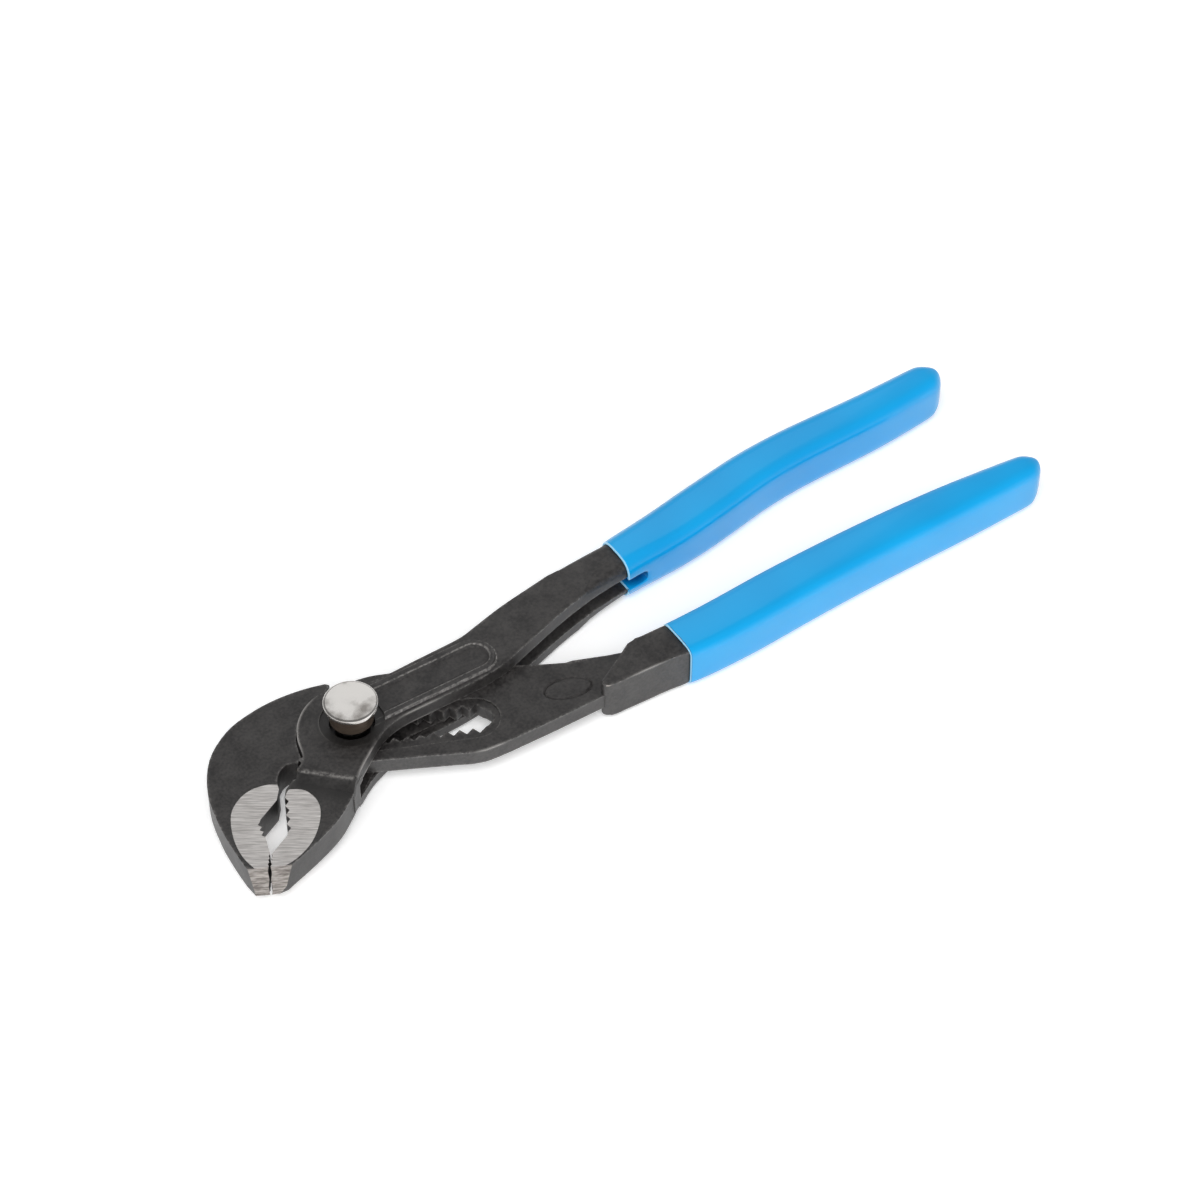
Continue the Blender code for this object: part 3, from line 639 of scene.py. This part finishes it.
def smooth(points: Sequence[tuple[float, ...]], per_span: int) -> list[tuple[float, ...]]:
    """Draws a Catmull-Rom curve through points.

    Args:
        points: the points to pass, of any number of numbers each.
        per_span: how many steps each span has.

    Returns:
        Points of the curve, both ends included.
    """
    padded = [points[0], *points, points[-1]]
    curve = []
    for a, b, c, d in zip(padded, padded[1:], padded[2:], padded[3:]):
        for step in range(per_span):
            t = step / per_span
            weights = (
                (-t + 2 * t**2 - t**3) / 2,
                (2 - 5 * t**2 + 3 * t**3) / 2,
                (t + 4 * t**2 - 3 * t**3) / 2,
                (t**3 - t**2) / 2,
            )
            spans = list(zip(weights, (a, b, c, d)))
            curve.append(tuple(sum(w * p[k] for w, p in spans) for k in range(len(b))))
    return [*curve, tuple(points[-1])]


def copy_of(node: str) -> Mesh:
    """Takes a merged copy of a CAD node's mesh.

    Args:
        node: the node's name.

    Returns:
        Its mesh in millimetres from the pivot, with doubles merged and flat faces joined.
    """
    bm = bmesh.new()
    bm.from_mesh(frame["nodes"][node].data)
    bmesh.ops.transform(bm, matrix=TO_FRAME.inverted(), verts=bm.verts[:])
    bmesh.ops.remove_doubles(bm, verts=bm.verts[:], dist=MERGED)
    bmesh.ops.dissolve_limit(bm, angle_limit=FLAT_TURN, verts=bm.verts[:], edges=bm.edges[:])
    bm.normal_update()
    return bm


def add_modifier(piece: Object, kind: str, **settings: Any) -> bpy.types.Modifier:
    """Adds a modifier with its settings.

    Args:
        piece: the object that gets it.
        kind: the modifier's type.
        settings: the modifier's properties.

    Returns:
        The new modifier.
    """
    modifier = piece.modifiers.new(kind.lower(), kind)
    for name, value in settings.items():
        setattr(modifier, name, value)
    return modifier


def as_piece(
    name: str, bm: Mesh, finishes: Iterable[Finish], body: Body, node: str, sharp: float = 30.0
) -> Object:
    """Turns a mesh in millimetres into a piece of the frame.

    Args:
        name: the piece's name.
        bm: the mesh, which is used up.
        finishes: its finishes in the order of its face material numbers, the main one first.
        body: the body that it rides on.
        node: the CAD node that it stands for.
        sharp: the angle in degrees from which an edge shades sharp.

    Returns:
        The piece, at the origin with its place in its mesh.
    """
    bmesh.ops.transform(bm, matrix=TO_FRAME, verts=bm.verts[:])
    mesh = bpy.data.meshes.new(name)
    bm.to_mesh(mesh)
    bm.free()
    for left_over in ("custom_normal", "sharp_face", "sharp_edge"):
        if left_over in mesh.attributes:
            mesh.attributes.remove(mesh.attributes[left_over])
    for finish in finishes:
        mesh.materials.append(bpy.data.materials.get(finish.name) or finish.material())
    mesh.shade_smooth()
    mesh.set_sharp_from_angle(angle=math.radians(sharp))
    piece = bpy.data.objects.new(name, mesh)
    bpy.context.scene.collection.objects.link(piece)
    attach(piece, body.value)
    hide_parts(node)
    return piece


def report(piece: Object) -> None:
    """Logs a piece's name, faces and materials."""
    mesh = piece.data
    LOG.info("%s: %d faces, %s", piece.name, len(mesh.polygons), [m.name for m in mesh.materials])


@dataclass(frozen=True)
class Stamp:
    """A plain oval groove that is stamped into a forging's upper face."""

    centre: Place
    heading: float
    half_length: float
    half_width: float
    flank: float = 0.5
    depth: float = 0.4
    steps: int = 28

    def edge(self) -> list[Vector]:
        """The oval's outline, anticlockwise from above and closed."""
        turned = Matrix.Translation(self.centre) @ Matrix.Rotation(math.radians(self.heading), 4, "Z")
        outline = []
        for step in range(self.steps + 1):
            angle = math.tau * step / self.steps
            ahead, aside = self.half_length * math.cos(angle), self.half_width * math.sin(angle)
            outline.append(turned @ Vector((ahead, aside, 0)))
        return outline


@dataclass
class ForgedLeg:
    """A forged leg with broken edges, and jaw sides that are ground flat up to a curved edge."""

    name: str
    node: str
    body: Body
    steel: BlackOxideForging
    ground_edge: tuple[Point2, ...]
    stamp: Stamp | None = None
    tip_heading: Point2 = (-0.5547, -0.832)
    tip_aim: float = 0.9
    tip_rise: Point2 = (0.15, 0.45)
    edge_round: float = 0.14
    edge_turn: float = 32.0
    edge_steps: int = 4
    flat: float = 0.01
    level: float = 0.999

    def build(self) -> Object:
        """Builds the leg.

        Returns:
            The finished piece.
        """
        bm = copy_of(self.node)
        for face in bm.faces:
            face.material_index = 0
        for height in (JAW_TOP, JAW_BOTTOM):
            self.grind_side(bm, height)
        self.grind_tip(bm)
        if self.stamp:
            self.press(bm, self.stamp)
        # A darker copy of the ground steel paints shade on the jaw's sloping tip
        shaded_tip = GroundSteel(
            "painted_shade_ground_steel", dull="#6E6864", bright="#B3ADA8", line_length=6.0, line_width=0.45
        )
        leg = as_piece(self.name, bm, (self.steel, GroundSteel(), shaded_tip), self.body, self.node)
        add_modifier(
            leg,
            "BEVEL",
            width=self.edge_round * MM,
            segments=2,
            limit_method="ANGLE",
            angle_limit=math.radians(self.edge_turn),
            harden_normals=True,
            use_clamp_overlap=True,
        )
        return leg

    def side_faces(self, bm: Mesh, height: float) -> list[Face]:
        """The leg's level faces at a height."""
        return [
            f
            for f in bm.faces
            if abs(f.normal.z) > self.level and abs(f.calc_center_median().z - height) < self.flat
        ]

    def grind_side(self, bm: Mesh, height: float) -> None:
        """Marks a side of the jaw as ground up to the field's curved edge.

        Args:
            bm: the leg's mesh.
            height: the height of that side.
        """
        edge = [Vector((x, y, height)) for x, y in smooth(self.ground_edge, self.edge_steps)]
        for face in self.cut_field(bm, edge):
            face.material_index = 1

    def cut_field(self, bm: Mesh, edge: list[Vector]) -> list[Face]:
        """Cuts the edge of a field into a level side. The edge bends only toward the field.

        Args:
            bm: the leg's mesh.
            edge: the field's edge at the side's height, with the field on its left from above.

        Returns:
            The faces inside the edge.
        """
        height = edge[0].z
        passed: list[tuple[Vector, Vector]] = []
        inside = self.side_faces(bm, height)
        for start, end in zip(edge, edge[1:]):
            outward = (end - start).cross(Vector((0, 0, 1))).normalized()
            passed.append((start, outward))
            parts = {p for f in inside for p in (f, *f.edges, *f.verts)}
            bmesh.ops.bisect_plane(bm, geom=list(parts), dist=CUT, plane_co=start, plane_no=outward)
            inside = [
                f
                for f in self.side_faces(bm, height)
                if all((f.calc_center_median() - point).dot(normal) <= 0 for point, normal in passed)
            ]
        return inside

    def press(self, bm: Mesh, stamp: Stamp) -> None:
        """Sinks an oval groove with sloping sides into the leg's upper face.

        Args:
            bm: the leg's mesh.
            stamp: the oval.
        """
        field = self.cut_field(bm, stamp.edge())
        for depth in (-stamp.depth, stamp.depth):
            bmesh.ops.inset_region(
                bm, faces=field, thickness=stamp.flank, depth=depth, use_even_offset=True
            )

    def grind_tip(self, bm: Mesh) -> None:
        """Marks the sloping end face of the jaw as ground."""
        ahead = Vector((*self.tip_heading, 0))
        lowest, highest = self.tip_rise
        for face in bm.faces:
            if face.normal.dot(ahead) > self.tip_aim and lowest < face.normal.z < highest:
                # Slot 2 is that darker copy of the ground steel: painted shade
                face.material_index = 2


@dataclass
class DippedGrip:
    """A dipped vinyl grip, drawn as rings along the handle's centre line."""

    name: str
    node: str
    body: Body
    stations: Stations
    corners: tuple[Point2, ...]
    mouth: float
    slot_end: float | None = None
    slot_heights: tuple[float, float] = (4.9, 8.5)
    mouth_wall: float = 0.9
    wall: float = 1.2
    skin_length: float = 26.0
    end_rows: int = 7
    end_bluntness: float = 0.1
    end_height: float = 0.25
    end_lift: float = 0.75
    crown: float = 0.35
    coat: float = 0.8
    thin_share: float = 0.02
    mouth_band: float = 1.0
    lip_round: float = 0.35
    lip_turn: float = 75.0
    lining_crease: float = 0.9
    corner_share: float = 0.8
    corner_steps: int = 4
    top_cuts: int = 3
    end_turn: float = 88.0
    span_steps: int = 3
    mouth_steps: int = 60
    mouth_space: float = 0.5

    def build(self) -> Object:
        """Builds the grip.

        Returns:
            The finished piece.
        """
        bm = self.skin()
        if self.slot_end is not None:
            self.line_slot(bm, self.slot_end)
        # A paler vinyl on the mouth's rounded lip is a painted highlight
        lip_highlight = DippedVinyl("painted_highlight_lip_vinyl", deep="#8FD3F7", light="#A9DEFA", recess_shade="#6FC4F2")
        grip = as_piece(self.name, bm, (DippedVinyl(), lip_highlight), self.body, self.node, sharp=50.0)
        band_end = PIVOT.x + (self.mouth + self.mouth_band) * MM
        at_mouth = [v.index for v in grip.data.vertices if v.co.x < band_end]
        grip.vertex_groups.new(name="mouth").add(at_mouth, 1.0, "REPLACE")
        add_modifier(grip, "SUBSURF", levels=2, render_levels=2)
        add_modifier(
            grip,
            "SOLIDIFY",
            thickness=self.coat * MM,
            offset=-1.0,
            vertex_group="mouth",
            thickness_vertex_group=self.thin_share,
        )
        # The rounded edges at the mouth take the pale vinyl, slot 1, as a painted highlight
        add_modifier(
            grip,
            "BEVEL",
            width=self.lip_round * MM,
            segments=3,
            limit_method="ANGLE",
            angle_limit=math.radians(self.lip_turn),
            use_clamp_overlap=False,
            material=1,
        )
        return grip

    def rows(self) -> list[tuple[tuple[float, ...], Point2, float, float]]:
        """The rings' places.

        Returns:
            For each ring: station, side heading, share of the full section, distance past the last station.
        """
        fine = [s for s in smooth(self.stations, self.span_steps) if s[0] > self.mouth + self.mouth_space]
        before = [s for s in smooth(self.stations, self.mouth_steps) if s[0] <= self.mouth]
        line = [(self.mouth, *before[-1][1:]), *fine]
        headings: list[Point2] = [(0.0, 1.0)]
        for (x0, y0, _), (x1, y1, _) in zip(line, [*line[2:], line[-1]]):
            length = math.hypot(x1 - x0, y1 - y0)
            headings.append((-(y1 - y0) / length, (x1 - x0) / length))
        rows = [(s, n, 1.0, 0.0) for s, n in zip(line, headings)]
        reach = line[-1][2] + self.wall
        for i in range(1, self.end_rows):
            angle = math.radians(self.end_turn) * i / (self.end_rows - 1)
            rows.append((line[-1], headings[len(line) - 1], math.cos(angle), reach * math.sin(angle)))
        return rows

    def corner_at(self, distance: float) -> float:
        """The bar's corner radius at a distance along the handle from the mouth."""
        for (a, before), (b, after) in zip(self.corners, self.corners[1:]):
            if distance <= b:
                return before + (after - before) * max(distance - a, 0.0) / (b - a)
        return self.corners[-1][1]

    def skin(self) -> Mesh:
        """Draws the outside of the coat, open at its mouth.

        Returns:
            The open skin.
        """
        bm = bmesh.new()
        last: list[bmesh.types.BMEdge] = []
        for (x, y, half), (nx, ny), share, ahead in self.rows():
            thick = min(max((x - self.mouth) / self.skin_length, 0.0), 1.0)
            grow = self.mouth_wall + (self.wall - self.mouth_wall) * thick
            corner = self.corner_at(x - self.mouth) + grow
            width = (half + grow) * (self.end_bluntness + (1 - self.end_bluntness) * share)
            full = HALF_LEG + grow
            height = full * (self.end_height + (1 - self.end_height) * share)
            place = Matrix(
                (
                    (nx, 0.0, ny, x + ny * ahead),
                    (ny, 0.0, -nx, y - nx * ahead),
                    (0.0, 1.0, 0.0, MIDDLE + (full - height) * self.end_lift),
                    (0.0, 0.0, 0.0, 1.0),
                )
            )
            made = bmesh.ops.create_grid(bm, x_segments=1, y_segments=1, size=1.0)
            bmesh.ops.scale(bm, vec=(width, height, 1.0), verts=made["verts"])
            bmesh.ops.bevel(
                bm,
                geom=made["verts"],
                offset=min(corner, width * self.corner_share, height * self.corner_share),
                affect="VERTICES",
                segments=self.corner_steps,
                profile=0.5,
                material=-1,
            )
            face = next(f for f in bm.faces if len(f.verts) > 4)
            level = [e for e in face.edges if all(abs(v.co.y) > height * 0.999 for v in e.verts)]
            bmesh.ops.delete(bm, geom=[face], context="FACES_ONLY")
            bmesh.ops.subdivide_edges(bm, edges=level, cuts=self.top_cuts)
            ring = [e for e in bm.edges if not e.link_faces and e not in last]
            verts = list({v for e in ring for v in e.verts})
            for vert in verts:
                vert.co.y *= 1 - self.crown / full * (vert.co.x / width) ** 2
            bmesh.ops.transform(bm, matrix=place, verts=verts)
            if last:
                bmesh.ops.bridge_loops(bm, edges=[*last, *ring])
            last = ring
        bmesh.ops.contextual_create(bm, geom=last)
        bmesh.ops.recalc_face_normals(bm, faces=bm.faces[:])
        return bm

    def line_slot(self, bm: Mesh, end: float) -> None:
        """Opens the mouth's end of the slot between the cheeks and lines it.

        Args:
            bm: the grip's open skin.
            end: how far along the handle the slot reaches.
        """
        crease = bm.edges.layers.float.new("crease_edge")
        low, high = self.slot_heights
        cuts = (((end, 0, 0), (1, 0, 0)), ((0, 0, low), (0, 0, 1)), ((0, 0, high), (0, 0, 1)))
        for point, normal in cuts:
            geom = [*bm.verts, *bm.edges, *bm.faces]
            bmesh.ops.bisect_plane(bm, geom=geom, dist=CUT, plane_co=point, plane_no=normal)
        middles = [(face, face.calc_center_median()) for face in bm.faces]
        opened = [face for face, middle in middles if middle.x < end and low < middle.z < high]
        before = {e for e in bm.edges if e.is_boundary}
        bmesh.ops.delete(bm, geom=opened, context="FACES")
        rim = [e for e in bm.edges if e.is_valid and e.is_boundary and e not in before]
        bmesh.ops.bridge_loops(bm, edges=rim)
        for edge in rim:
            edge[crease] = self.lining_crease
        bmesh.ops.recalc_face_normals(bm, faces=bm.faces[:])


@dataclass
class ButtonLock:
    """The push button, its return spring and washer, and the bolt that locks the rack."""

    head_radius: float = 7.1
    head_top: float = 21.2
    head_bottom: float = 19.7
    crown: float = 0.15
    edge: float = 0.45
    skirt_radius: float = 5.7
    skirt_bottom: float = 14.5
    skirt_bore: float = 4.8
    ceiling: float = 19.5
    socket_radius: float = 2.23
    socket_top: float = 20.1
    wire: float = 0.7
    turns: float = 4.5
    spring_radius: float = 3.6
    spring_foot: float = 10.6
    spring_top: float = 19.4
    travel: float = 4.3
    round_steps: int = 96
    wire_sides: int = 12
    coil_steps: int = 28
    rim_break: float = 0.2
    shoulder_run: float = 0.3
    edge_round: float = 0.1
    edge_turn: float = 35.0

    def build(self) -> list[Object]:
        """Builds the four pieces.

        Returns:
            The cap, the bolt, the spring and the washer.
        """
        pieces = [self.cap(), self.bolt(), self.washer()]
        for piece in pieces:
            add_modifier(
                piece,
                "BEVEL",
                width=self.edge_round * MM,
                segments=2,
                limit_method="ANGLE",
                angle_limit=math.radians(self.edge_turn),
                harden_normals=True,
            )
        return [*pieces, self.spring()]

    def cap(self) -> Object:
        """Turns the polished head and its skirt.

        Returns:
            The finished piece.
        """
        shoulder = self.head_top - self.crown
        profile = [
            (0.0, self.head_top),
            (self.head_radius * 0.3, self.head_top - self.crown * 0.09),
            (self.head_radius * 0.6, self.head_top - self.crown * 0.4),
            (self.head_radius - self.edge - self.shoulder_run, shoulder + self.crown * 0.1),
            (self.head_radius - self.edge, shoulder),
            (self.head_radius - self.edge * 0.3, shoulder - self.edge * 0.3),
            (self.head_radius, shoulder - self.edge),
            (self.head_radius, self.head_bottom + self.rim_break),
            (self.head_radius - self.rim_break, self.head_bottom),
            (self.skirt_radius, self.head_bottom),
            (self.skirt_radius, self.skirt_bottom),
            (self.skirt_bore, self.skirt_bottom),
            (self.skirt_bore, self.ceiling),
            (self.socket_radius, self.ceiling),
            (self.socket_radius, self.socket_top),
            (0.0, self.socket_top),
        ]
        bm = bmesh.new()
        verts = [bm.verts.new((r, 0.0, z)) for r, z in profile]
        edges = [bm.edges.new(pair) for pair in zip(verts, verts[1:])]
        bmesh.ops.spin(
            bm,
            geom=[*verts, *edges],
            cent=(0, 0, 0),
            axis=(0, 0, 1),
            angle=math.tau,
            steps=self.round_steps,
            use_merge=True,
        )
        bmesh.ops.remove_doubles(bm, verts=bm.verts[:], dist=CUT)
        bmesh.ops.recalc_face_normals(bm, faces=bm.faces[:])
        for face in bm.faces:
            face.material_index = int(face.calc_center_median().z < self.head_bottom - self.edge_round)
        skirt = LatheSteel("turned_brown_steel", dark="#463C34", pale="#7A6C60", metallic=0.6)
        return as_piece("button_head", bm, (PolishedNickel(), skirt), Body.BUTTON, "button_cap")

    def bolt(self) -> Object:
        """Dresses the bolt with its toothed lock."""
        return as_piece("lock_bolt", copy_of("pivot_bolt"), (LatheSteel(),), Body.BUTTON, "pivot_bolt")

    def washer(self) -> Object:
        """Dresses the washer under the spring."""
        bm = copy_of("spring_washer")
        return as_piece("washer", bm, (self.wire_finish(),), Body.PIVOT, "spring_washer")

    def wire_finish(self) -> LatheSteel:
        """The finish of drawn wire and rolled sheet."""
        return LatheSteel("drawn_spring_steel", Slot.SPRING, "#6F6E6C", "#A19F9C", 0.25, 3.0)

    def spring(self) -> Object:
        """Winds the return spring. In the tool it shortens as the button goes down; this mesh keeps one
        length.

        Returns:
            The finished piece.
        """
        bm = bmesh.new()
        start = Matrix.Translation((self.spring_radius, 0, self.spring_foot + self.wire / 2))
        upright = start @ Matrix.Rotation(math.pi / 2, 4, "X")
        bmesh.ops.create_circle(bm, segments=self.wire_sides, radius=self.wire / 2, matrix=upright)
        steps = round(self.turns * self.coil_steps)
        rise = self.spring_top - self.spring_foot - self.wire
        bmesh.ops.spin(
            bm,
            geom=[*bm.verts, *bm.edges],
            cent=(0, 0, 0),
            axis=(0, 0, 1),
            dvec=(0, 0, rise / steps),
            angle=math.tau * self.turns,
            steps=steps,
        )
        bmesh.ops.holes_fill(bm, edges=[e for e in bm.edges if e.is_boundary], sides=0)
        bmesh.ops.recalc_face_normals(bm, faces=bm.faces[:])
        finishes = (self.wire_finish(),)
        piece = as_piece("return_spring", bm, finishes, Body.PIVOT, "button_spring", sharp=60.0)
        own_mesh(piece)
        return piece


@dataclass
class Studio:
    """A plain pale floor, soft light from above and a camera where the photograph was taken."""

    camera_place: Place = (-255.3, -508.9, 665.2)
    target: Place = (79.0, 5.85, 7.0)
    lens: float = 101.8
    sensor: float = 36.0
    floor_size: float = 3000.0
    floor_colour: str = "#FAFAFA"
    floor_lift: float = 0.28
    ceiling: float = 0.2
    ceiling_start: float = 0.6
    fill_place: Place = (-290.0, -460.0, 850.0)
    fill_strength: float = 2.35
    fill_spread: float = 50.0
    box_place: Place = (450.0, 690.0, 890.0)
    box_size: float = 480.0
    box_power: float = 0.4

    def build(self) -> None:
        """Builds the floor, the light and the camera."""
        self.floor()
        self.world()
        self.fill()
        self.softbox()
        self.camera()
        bpy.context.scene.view_settings.view_transform = "Standard"

    def seen(self, tree: Tree) -> Socket:
        """Tells rays from the camera, a mirror or glass from the rays that light the object.

        Args:
            tree: the node tree that asks.

        Returns:
            A socket that is 1 for the rays that see the background.
        """
        path = add_node(tree, "LightPath")
        mirror = add_node(
            tree,
            "Math",
            {0: path.outputs["Is Camera Ray"], 1: path.outputs["Is Glossy Ray"]},
            operation="MAXIMUM",
        )
        through = add_node(
            tree,
            "Math",
            {0: mirror.outputs[0], 1: path.outputs["Is Transmission Ray"]},
            operation="MAXIMUM",
        )
        return through.outputs[0]

    def floor(self) -> None:
        """Lays the floor, which is white where it is seen and keeps the shadow."""
        bm = bmesh.new()
        bmesh.ops.create_grid(bm, x_segments=1, y_segments=1, size=self.floor_size / 2)
        bmesh.ops.transform(bm, matrix=TO_FRAME, verts=bm.verts[:])
        mesh = bpy.data.meshes.new("floor")
        bm.to_mesh(mesh)
        bm.free()
        material = bpy.data.materials.new("pale_paper")
        material.use_nodes = True
        tree = material.node_tree
        shader = tree.nodes["Principled BSDF"]
        shader.inputs["Base Color"].default_value = linear(self.floor_colour)
        shader.inputs["Roughness"].default_value = 0.9
        shader.inputs["Specular IOR Level"].default_value = 0.0
        shader.inputs["Emission Color"].default_value = linear("#FFFFFF")
        seen = self.seen(tree)
        lift = add_node(tree, "Math", {0: seen, 1: self.floor_lift}, operation="MULTIPLY")
        tree.links.new(lift.outputs[0], shader.inputs["Emission Strength"])
        mesh.materials.append(material)
        floor = bpy.data.objects.new("floor", mesh)
        bpy.context.scene.collection.objects.link(floor)

    def world(self) -> None:
        """Makes the room round the table: white walls under a darker ceiling."""
        world = bpy.data.worlds.new("studio")
        bpy.context.scene.world = world
        world.use_nodes = True
        tree = world.node_tree
        heading = add_node(tree, "TexCoord").outputs["Generated"]
        height = add_node(tree, "SeparateXYZ", {0: heading}).outputs["Z"]
        fade = {"Value": height, "From Max": self.ceiling_start, "To Min": 1.0, "To Max": self.ceiling}
        strength = add_node(tree, "MapRange", fade)
        background = tree.nodes["Background"]
        background.inputs["Color"].default_value = linear("#FFFFFF")
        tree.links.new(strength.outputs[0], background.inputs["Strength"])

    def fill(self) -> None:
        """Sets a wide far lamp over the camera, which lights all evenly and shows in no mirror."""
        light = bpy.data.lights.new("fill", "SUN")
        light.energy = self.fill_strength
        light.angle = math.radians(self.fill_spread)
        self.aim("fill", light, Vector(self.fill_place)).visible_glossy = False

    def softbox(self) -> None:
        """Hangs a dim square lamp where the button's head mirrors it."""
        light = bpy.data.lights.new("softbox", "AREA")
        light.energy = self.box_power
        light.size = self.box_size * MM
        self.aim("softbox", light, Vector(self.box_place))

    def aim(self, name: str, data: bpy.types.ID, place: Vector) -> Object:
        """Stands a lamp or a camera at a place and turns it to the pliers.

        Args:
            name: the object's name.
            data: the lamp or the camera.
            place: where it stands.

        Returns:
            The new object.
        """
        stand = bpy.data.objects.new(name, data)
        stand.location = TO_FRAME @ place
        stand.rotation_euler = (Vector(self.target) - place).to_track_quat("-Z", "Y").to_euler()
        bpy.context.scene.collection.objects.link(stand)
        return stand

    def camera(self) -> None:
        """Stands the camera at the photograph's view."""
        data = bpy.data.cameras.new("camera")
        data.lens = self.lens
        data.sensor_width = self.sensor
        bpy.context.scene.camera = self.aim("camera", data, Vector(self.camera_place))


FORK_HANDLE: Stations = (
    (66.0, 9.3, 6.1),
    (78.0, 11.6, 5.8),
    (92.0, 13.3, 5.9),
    (106.0, 14.7, 6.1),
    (122.0, 17.4, 6.1),
    (138.0, 20.3, 5.8),
    (154.0, 21.6, 5.5),
    (178.0, 21.9, 5.1),
    (197.4, 23.2, 4.4),
)
FORK_CORNERS: tuple[Point2, ...] = ((-16.0, 1.0), (0.0, 3.0), (26.0, 1.9))
RACK_HANDLE: Stations = (
    (70.0, -20.6, 5.5),
    (80.0, -21.0, 5.4),
    (90.0, -21.6, 6.0),
    (104.0, -21.3, 6.2),
    (120.0, -20.3, 6.1),
    (140.0, -19.5, 5.8),
    (160.0, -19.3, 5.5),
    (180.0, -19.6, 4.9),
    (199.8, -20.1, 3.6),
)
FORK_MOUTH, FORK_SLOT_END, RACK_MOUTH = 88.4, 95.2, 85.2
RACK_CORNERS: tuple[Point2, ...] = ((-1.5, 1.2), (12.0, 1.7))
FORK_GROUND: tuple[Point2, ...] = (
    (-38.3, -30.2),
    (-33.0, -29.7),
    (-27.0, -27.0),
    (-22.0, -22.0),
    (-19.7, -17.0),
    (-20.5, -12.0),
    (-23.5, -9.6),
    (-24.5, -9.8),
)
RACK_GROUND: tuple[Point2, ...] = (
    (-25.5, -6.5),
    (-28.0, -5.0),
    (-32.0, -4.4),
    (-36.0, -5.5),
    (-40.0, -8.8),
    (-43.0, -15.5),
    (-44.0, -22.0),
    (-43.2, -27.5),
)
FORK_STEEL = BlackOxideForging(
    "black_oxide_forged_steel_fork",
    rub_and_highlight_spots=(
        # The hub's left rim: wear, and partly a painted highlight
        ((-12.5, 6.0, 13.0), 5.0, 13.0),
        ((-4.0, -13.0, 12.0), 3.0, 7.0),
        ((17.0, -6.0, 13.0), 2.0, 9.0),
    ),
    scuffs=(
        Streak((-19.6, -6.9), (-9.4, -16.4), 0.1, 1.2, 1.0),
        Streak((-20.2, -7.8), (-10.2, -17.6), 1.2, 1.8, 0.22),
    ),
    # Painted shade below the jaw's ramp
    ramp_shadows=(Streak((-20.8, -9.0), (-11.4, -19.6), 0.4, 5.0, 0.9),),
    pad=((4.0, 1.7), (37.4, 1.7)),
)
RACK_STEEL = BlackOxideForging(
    "black_oxide_forged_steel_rack", rub_and_highlight_spots=(((27.0, -24.0, 9.0), 1.5, 6.0), ((73.0, -26.0, 13.0), 1.0, 8.0))
)
RACK_STAMP = Stamp((54.2, -17.2, PLATE_TOP), -15.7, 6.9, 3.9)


def main() -> None:
    """Builds the pliers' pieces in order, and the studio."""
    logging.basicConfig(level=logging.INFO, format="%(message)s")
    parts = [
        ForgedLeg("fork_forging", "fork_leg", Body.FORK, FORK_STEEL, FORK_GROUND),
        ForgedLeg("rack_forging", "rack_leg", Body.RACK, RACK_STEEL, RACK_GROUND, RACK_STAMP),
        DippedGrip(
            "fork_handle_grip", "fork_grip", Body.FORK, FORK_HANDLE, FORK_CORNERS, FORK_MOUTH, FORK_SLOT_END
        ),
        DippedGrip("rack_handle_grip", "rack_grip", Body.RACK, RACK_HANDLE, RACK_CORNERS, RACK_MOUTH),
    ]
    for part in parts:
        report(part.build())
    for piece in ButtonLock().build():
        report(piece)
    Studio().build()


if __name__ == "__main__":
    main()
